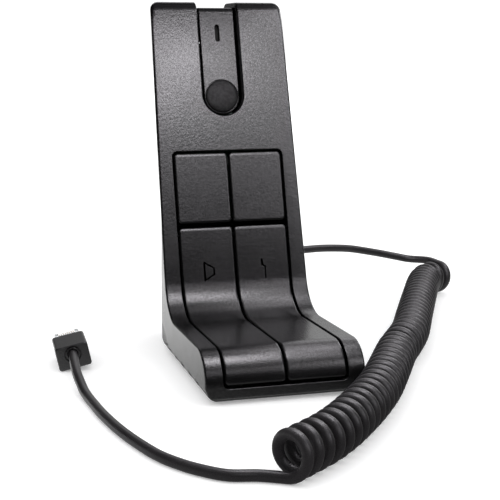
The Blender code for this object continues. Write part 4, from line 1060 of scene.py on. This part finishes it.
def spline(points, steps):
    """Centripetal Catmull-Rom through points, evenly cut per span."""
    P = [Vector(p) for p in points]
    P = [P[0] * 2 - P[1]] + P + [P[-1] * 2 - P[-2]]
    out = []
    for i in range(1, len(P) - 2):
        p0, p1, p2, p3 = P[i - 1:i + 3]
        t0 = 0.0
        t1 = t0 + (p1 - p0).length ** 0.5
        t2 = t1 + (p2 - p1).length ** 0.5
        t3 = t2 + (p3 - p2).length ** 0.5
        for k in range(steps):
            t = t1 + (t2 - t1) * k / steps

            def blend(a, b, ta, tb):
                return a * ((tb - t) / (tb - ta)) + b * ((t - ta) / (tb - ta))

            a1 = blend(p0, p1, t0, t1)
            a2 = blend(p1, p2, t1, t2)
            a3 = blend(p2, p3, t2, t3)
            out.append(blend(blend(a1, a2, t0, t2), blend(a2, a3, t1, t3), t1, t2))
    out.append(P[-2])
    return out


def walk(points):
    """Lookup of (point, direction) by arc length over a polyline, and its length."""
    lengths = [0.0]
    for a, b in zip(points[:-1], points[1:]):
        lengths.append(lengths[-1] + (b - a).length)

    def at(s):
        s = min(max(s, 0.0), lengths[-1])
        i = min(bisect_right(lengths, s) - 1, len(lengths) - 2)
        a, b = points[i], points[i + 1]
        return (a.lerp(b, (s - lengths[i]) / max(lengths[i + 1] - lengths[i], 1e-9)),
                (b - a).normalized())
    return at, lengths[-1]


def coil_points():
    at, length = walk(spline([(x, y, COIL_Z) for x, y in COIL_AXIS], 24))
    # turns reached along the axis, by adding up small steps
    steps = 900
    reached = [0.0]
    for i in range(steps):
        s = length * (i + 0.5) / steps
        pitch = (COIL_PITCH + COIL_SPREAD * s / length
                 + COIL_GAP * math.exp(-((s - COIL_GAP_AT) / COIL_GAP_WIDTH) ** 2))
        reached.append(reached[-1] + length / steps / pitch)
    turns = int(reached[-1]) + 0.5
    n = int(turns * PER_TURN)
    out = []
    i = 0
    for k in range(n + 1):
        want = reached[-1] * k / n
        while i < steps - 1 and reached[i + 1] < want:
            i += 1
        s = length * (i + (want - reached[i]) / (reached[i + 1] - reached[i])) / steps
        p, along = at(s)
        side = Vector((along.y, -along.x, 0.0)).normalized()
        up = side.cross(along).normalized()
        angle = math.pi - 2 * math.pi * k / PER_TURN
        out.append(p + COIL_R * (math.cos(angle) * up + math.sin(angle) * side))
    return out


def cord_points():
    coil = coil_points()
    near = spline(NEAR_TAIL + [coil[0] + Vector((-8.6, 4.6, 0.0)), coil[0]],
                  TAIL_STEPS)[:-1]
    # leave the last ring tangentially and climb to the housing
    end = coil[-1]
    along = (end - coil[-2]).normalized()
    lead = [end, end + along * 7.0 + Vector((-0.6, 0.4, 0.3))]
    return near + coil + spline(lead + FAR_TAIL, TAIL_STEPS)[1:]


def tube_along(points, radius, sides):
    """Round cord swept along points with a rotation-minimising frame."""
    rings = []
    last = (points[1] - points[0]).normalized()
    u = last.orthogonal().normalized()
    for i, p in enumerate(points):
        if i == 0:
            along = (points[1] - points[0]).normalized()
        elif i == len(points) - 1:
            along = (points[-1] - points[-2]).normalized()
        else:
            along = ((points[i + 1] - p).normalized()
                     + (p - points[i - 1]).normalized()).normalized()
        u = last.rotation_difference(along) @ u
        u = (u - along * u.dot(along)).normalized()
        last = along
        rings.append(circle(p, u, along.cross(u), radius, sides))
    return loft(rings, smooth=60)


def build_cord():
    bush = turned((0, 124.5, CORD_EXIT_Z), BACKWARD, BUSH_PROFILE, 48)
    combine(bush, rod((0, 120, CORD_EXIT_Z), BACKWARD, length=30, radius=CORD_BORE,
                      sides=32))
    finish_piece(bush, "strain_relief", "rubber")
    finish_piece(tube_along(cord_points(), CORD_R, CORD_SIDES), "coil_cord", "cord",
                 smooth=60)


# ------------------------------------------------------------------------- plug
BOOT_BACK = Vector((-80.3, 63.5, 6.8))     # cable side of the boot
BOOT_DIR = Vector((0.045, 1.0, 0.0)).normalized()
BOOT_ROLL = math.radians(12.0)             # the plug leans over about its length
BOOT_MID = 6.7                             # height that the plug rolls about

# Rings across the plug: v along it, half width, bottom, top, corner radius.
# The boot has a short boss round the cord, a ring groove, then the flat face.
BOOT_RINGS = (
    [(3.4, 2.75, 5.55, 11.05, 2.7), (3.46, 2.92, 5.38, 11.22, 2.86),
     (3.65, 3.0, 5.3, 11.3, 2.94), (5.3, 3.02, 5.28, 11.32, 2.96),
     (5.32, 3.2, 5.1, 11.4, 3.1), (5.3, 3.66, 4.5, 11.72, 3.55),
     (4.6, 3.7, 4.46, 11.74, 3.58), (4.44, 3.8, 4.34, 11.76, 3.6),
     (4.4, 5.4, 2.9, 11.8, 2.2), (4.42, 6.8, 1.75, 11.86, 1.7),
     (4.52, 7.1, 1.5, 11.98, 1.5), (4.72, 7.32, 1.32, 12.1, 1.35),
     (5.05, 7.45, 1.23, 12.17, 1.25), (5.5, 7.5, 1.2, 12.2, 1.2),
     (7.0, 7.5, 1.2, 12.2, 1.2)]
    + [(9.0 + 3.5 * k, 7.5, 1.2, 12.2, 1.2) for k in range(5)]
    + [(25.4, 7.48, 1.22, 12.18, 1.2), (26.0, 7.35, 1.32, 12.08, 1.2),
       (26.3, 7.1, 1.55, 11.85, 1.2), (26.4, 6.7, 1.9, 11.5, 1.2)])
PLUG_Z0, PLUG_Z1 = 3.0, 9.6
PLUG_RINGS = (
    (26.8, 5.6, PLUG_Z0, PLUG_Z1, 0.4), (27.2, 5.85, PLUG_Z0, PLUG_Z1, 0.35),
    (31.0, 5.85, PLUG_Z0, PLUG_Z1, 0.35), (36.0, 5.85, PLUG_Z0, PLUG_Z1, 0.35),
    (41.2, 5.85, PLUG_Z0, PLUG_Z1, 0.35),
    (41.6, 5.7, PLUG_Z0 + 0.15, PLUG_Z1 - 0.15, 0.3),
    (41.8, 5.5, PLUG_Z0 + 0.3, PLUG_Z1 - 0.3, 0.3))
# Places across the plug of the eight contacts
CONTACT_PITCH = 1.02
CONTACT_U = [(i - 3.5) * CONTACT_PITCH for i in range(8)]
# Side outline of a contact: v, w
CONTACT_PROFILE = ((37.0, 8.0), (40.8, 8.0), (40.8, 9.1), (40.6, 9.3), (37.3, 9.3),
                   (37.0, 9.0))
# Latch: v, bottom, thickness
LATCH = ((40.8, 1.9, 0.75), (40.2, 1.78, 0.8), (38.5, 1.5, 0.85), (36.0, 1.22, 0.83),
         (33.0, 1.0, 0.8), (30.5, 0.72, 0.8), (27.9, 0.45, 0.8))


def boot_frame(u, v, w):
    """Point in the plug's own axes: u across, v along, w up."""
    side = Vector((BOOT_DIR.y, -BOOT_DIR.x, 0.0))
    c, s = math.cos(BOOT_ROLL), math.sin(BOOT_ROLL)
    p = BOOT_BACK + side * (u * c - (w - BOOT_MID) * s) + BOOT_DIR * v
    return (p.x, p.y, p.z + u * s + (w - BOOT_MID) * c)


def boot_ring(v, half, low, high, r, steps):
    return [boot_frame(u, v, w)
            for u, w in rounded_rect(-half + r, half - r, low + r, high - r, r, steps)]


def boot_rect(v, u0, u1, w0, w1):
    return [boot_frame(u0, v, w0), boot_frame(u1, v, w0),
            boot_frame(u1, v, w1), boot_frame(u0, v, w1)]


def build_boot():
    boot = loft([boot_ring(*ring, steps=7) for ring in BOOT_RINGS])
    combine(boot, rod(boot_frame(0, -2.0, 8.4), BOOT_DIR, length=12.0, radius=CORD_BORE,
                      sides=36))
    finish_piece(boot, "plug_boot", "rubber", smooth=35)


def build_plug():
    plug = loft([boot_ring(*ring, steps=3) for ring in PLUG_RINGS])
    for u in CONTACT_U:
        combine(plug, loft([boot_rect(v, u - 0.42, u + 0.42, 7.6, 11.0)
                            for v in (36.6, 43.0)]))
    finish_piece(plug, "modular_plug", "clear_plug")
    for i, u in enumerate(CONTACT_U):
        contact = loft([[boot_frame(u + side * 0.15, v, w) for v, w in CONTACT_PROFILE]
                        for side in (-1, 1)])
        finish_piece(contact, f"contact_{i + 1}", "contacts")
    latch = loft([boot_rect(v, -1.6, 1.6, low, low + thick) for v, low, thick in LATCH])
    finish_piece(latch, "plug_latch", "clear_plug", body="plug_latch")


def dress_inner_nodes():
    """The CAD solids that stay get real finishes."""
    slots = {part["node"]: part["material_slot"]
             for part in frame["record"].get("subparts", [])}
    for name, ob in frame["nodes"].items():
        if ob.hide_render:
            continue
        key = "pin" if name == "lever_pin" else slots.get(name, "")
        ob.data.materials.clear()
        ob.data.materials.append(M.get(key, M["switch"]))


# ------------------------------------------------------------------------ stage
# Lengths and places of the stage are metres in the part frame.
DOME = 1.5              # radiance of the even dome
WHITE = 1.1             # radiance of the world that the camera sees
FLOOR_SOFT = 0.6        # radiance that the floor gives to non-glossy rays
# Pools of light on the floor that the reflections see: centre, radius, radiance
FLOOR_BASE = 0.0
FLOOR_LOBES = [
    ((-0.30, 0.15), 0.22, 4.9),
    ((-0.22, 0.75), 0.30, 2.0),
    ((0.40, 0.50), 0.35, 2.5),
    ((0.35, 0.05), 0.20, 0.37),
]
# Soft lobes of the world that the reflections see: direction, sharpness, radiance
WORLD_BASE = 0.0
WORLD_LOBES = [
    ((0.6, 1.0, 0.3), 6.0, 1.2),
    ((1.0, 0.0, 0.3), 6.0, 0.1),
]
# Level panels that face straight down: number, x, y, width, depth, radiance
PANEL_Z = 0.22
PANELS = (
    (1, -0.1, -0.025, 0.06, 0.04, 3.3),
    (2, -0.04, -0.105, 0.06, 0.04, 6.8),
    (3, -0.04, -0.065, 0.06, 0.04, 6.0),
    (4, -0.04, 0.03, 0.06, 0.07, 0.75),
    (5, 0.02, -0.105, 0.06, 0.04, 14.2),
    (6, 0.02, -0.065, 0.06, 0.04, 8.4),
    (7, 0.02, 0.03, 0.06, 0.07, 0.95),
    (8, 0.08, -0.145, 0.06, 0.04, 4.6),
    (9, 0.08, -0.105, 0.06, 0.04, 3.75),
    (10, 0.08, -0.065, 0.06, 0.04, 3.625),
    (11, 0.08, -0.025, 0.06, 0.04, 6.0),
    (12, 0.08, 0.03, 0.06, 0.07, 3.12),
    (13, 0.14, -0.145, 0.06, 0.04, 1.5),
    (17, 0.01, -0.150, 0.05, 0.04, 8.0),
    (18, 0.075, -0.195, 0.12, 0.05, 0.9),
    (19, 0.13, -0.29, 0.10, 0.12, 0.55),
    (14, 0.24, 0.235, 0.18, 0.19, 0.52),
    (15, 0.24, 0.1, 0.12, 0.12, 8.64),
    (16, -0.2, -0.1, 0.1, 0.1, 0.5),
)
# Aimed lamps: name, place, aim, width, depth, radiance
LAMPS = (
    ("back_right", (0.10, 0.35, 0.35), (0.0, 0.0, 0.05), 0.40, 0.20, 1.08),
    ("front_high", (0.0, -0.70, 0.50), (0.0, 0.0, 0.10), 0.40, 0.20, 2.3),
    ("front_right", (0.35, -0.50, 0.40), (0.0, 0.0, 0.10), 0.20, 0.20, 5.52),
)
LAMP_COLOUR = (1.0, 0.972, 1.02)
CAMERA_PLACE = (-0.14216, -0.51307, 0.14873)
CAMERA_YAW, CAMERA_PITCH = math.radians(15.69), math.radians(10.24)
CAMERA_LENS = 84.46     # mm, on a sensor CAMERA_SENSOR mm wide
CAMERA_SENSOR = 36.0


def by_ray(tree, to_camera, to_glossy, to_rest):
    """One of three shaders by the kind of ray that meets the surface."""
    rays = add_node(tree, "ShaderNodeLightPath").outputs
    unseen = add_node(tree, "ShaderNodeMixShader", {
        0: rays["Is Glossy Ray"], 1: to_rest.outputs[0], 2: to_glossy.outputs[0]})
    return add_node(tree, "ShaderNodeMixShader", {
        0: rays["Is Camera Ray"], 1: unseen.outputs[0],
        2: to_camera.outputs[0]}).outputs[0]


def floor_glow(tree, position):
    total = value_node(tree, "floor_base", FLOOR_BASE)
    for k, ((x, y), radius, strength) in enumerate(FLOOR_LOBES):
        distance = add_node(tree, "ShaderNodeVectorMath", {0: position, 1: (x, y, 0.0)},
                            operation="DISTANCE").outputs["Value"]
        lobe = math_node(tree, "DIVIDE", distance, radius)
        lobe = math_node(tree, "MULTIPLY", lobe, lobe)
        lobe = math_node(tree, "MULTIPLY", lobe, -1.0)
        lobe = math_node(tree, "EXPONENT", lobe)
        lobe = math_node(tree, "MULTIPLY", lobe, value_node(tree, f"floor_{k}", strength))
        total = math_node(tree, "ADD", total, lobe)
    return total


def floor_material():
    """Pale floor lit by the dome and lifted far away for the camera; pools of
    light for the reflections."""
    material, tree, principled = new_material("floor_white")
    tree.nodes.remove(principled)
    position = add_node(tree, "ShaderNodeNewGeometry").outputs["Position"]
    pale = add_node(tree, "ShaderNodeBsdfDiffuse", {"Color": (0.95, 0.95, 0.955, 1)})
    away = add_node(tree, "ShaderNodeVectorMath", {0: position},
                    operation="LENGTH").outputs["Value"]
    lift = map_range(tree, away, from_min=0.35, from_max=1.6, to_min=0.25, to_max=0.45,
                     kind="SMOOTHSTEP")
    far = add_node(tree, "ShaderNodeEmission", {"Strength": lift})
    seen = add_node(tree, "ShaderNodeAddShader", {0: pale.outputs[0], 1: far.outputs[0]})
    glow = add_node(tree, "ShaderNodeEmission", {"Strength": floor_glow(tree, position)})
    soft = add_node(tree, "ShaderNodeEmission", {"Strength": FLOOR_SOFT})
    feed(tree, tree.nodes["Material Output"],
         {"Surface": by_ray(tree, to_camera=seen, to_glossy=glow, to_rest=soft)})
    return material


def build_floor():
    bm = bmesh.new()
    bm.faces.new([bm.verts.new((x, y, 0.0)) for x, y in ((-4, -4), (4, -4), (4, 6), (-4, 6))])
    mesh = bpy.data.meshes.new("floor")
    bm.to_mesh(mesh)
    bm.free()
    floor = bpy.data.objects.new("floor", mesh)
    bpy.context.scene.collection.objects.link(floor)
    mesh.materials.append(floor_material())


def build_world():
    """White for the camera, soft lobes for the glossy plastic, an even dome
    for all other light."""
    world = bpy.data.worlds.new("studio")
    bpy.context.scene.world = world
    world.use_nodes = True
    world.cycles.sampling_method = "NONE"
    tree = world.node_tree
    tree.nodes.clear()
    white = add_node(tree, "ShaderNodeBackground",
                     {"Color": (1, 1, 1, 1), "Strength": WHITE}, name="white")
    dome = add_node(tree, "ShaderNodeBackground", {"Strength": DOME}, name="dome")
    view = add_node(tree, "ShaderNodeTexCoord").outputs["Generated"]
    total = value_node(tree, "world_base", WORLD_BASE)
    for k, (direction, sharpness, strength) in enumerate(WORLD_LOBES):
        lobe = add_node(tree, "ShaderNodeVectorMath",
                        {0: view, 1: Vector(direction).normalized()},
                        operation="DOT_PRODUCT").outputs["Value"]
        lobe = math_node(tree, "MAXIMUM", lobe, 0.0)
        lobe = math_node(tree, "POWER", lobe, sharpness)
        lobe = math_node(tree, "MULTIPLY", lobe, value_node(tree, f"world_{k}", strength))
        total = math_node(tree, "ADD", total, lobe)
    lobes = add_node(tree, "ShaderNodeBackground", {"Strength": total})
    add_node(tree, "ShaderNodeOutputWorld",
             {"Surface": by_ray(tree, to_camera=white, to_glossy=lobes, to_rest=dome)})


def area_light(name, place, aim, width, depth, radiance):
    """Soft panel that neither the camera nor diffuse surfaces see."""
    light = bpy.data.lights.new(name, "AREA")
    light.shape = "RECTANGLE"
    light.size, light.size_y = width, depth
    light.energy = radiance * math.pi * width * depth
    light.spread = math.pi
    light.color = LAMP_COLOUR
    ob = bpy.data.objects.new(name, light)
    ob.location = place
    ob.rotation_euler = (Vector(aim) - Vector(place)).to_track_quat("-Z", "Y").to_euler()
    ob.visible_camera = False
    ob.visible_diffuse = False
    bpy.context.scene.collection.objects.link(ob)


def build_lights():
    for number, x, y, width, depth, radiance in PANELS:
        area_light(f"panel_{number:02d}", (x, y, PANEL_Z), (x, y, 0.0), width, depth,
                   radiance)
    for lamp in LAMPS:
        area_light(*lamp)


def build_camera():
    camera = bpy.data.cameras.new("camera")
    camera.lens = CAMERA_LENS
    camera.sensor_width = CAMERA_SENSOR
    camera.clip_start = 0.01
    camera.clip_end = 50.0
    ob = bpy.data.objects.new("camera", camera)
    forward = Vector((math.sin(CAMERA_YAW) * math.cos(CAMERA_PITCH),
                      math.cos(CAMERA_YAW) * math.cos(CAMERA_PITCH),
                      -math.sin(CAMERA_PITCH)))
    ob.location = CAMERA_PLACE
    ob.rotation_euler = forward.to_track_quat("-Z", "Y").to_euler()
    bpy.context.scene.collection.objects.link(ob)
    bpy.context.scene.camera = ob


def build_stage():
    view = bpy.context.scene.view_settings
    view.view_transform = "Standard"
    view.look = "None"
    view.exposure = 0.0
    view.gamma = 1.0
    build_floor()
    build_world()
    build_lights()
    build_camera()


build_upper_button("upper_left_button", -1)
build_upper_button("upper_right_button", 1)
build_lever("monitor_lever", -1)
build_lever("ptt_lever", 1)
build_base_plate(build_housings())
build_foot_pad()
build_base_screws()
build_panel()
build_disc()
build_cord()
build_boot()
build_plug()
dress_inner_nodes()
build_stage()

for mesh in list(bpy.data.meshes):
    if mesh.users == 0:
        bpy.data.meshes.remove(mesh)
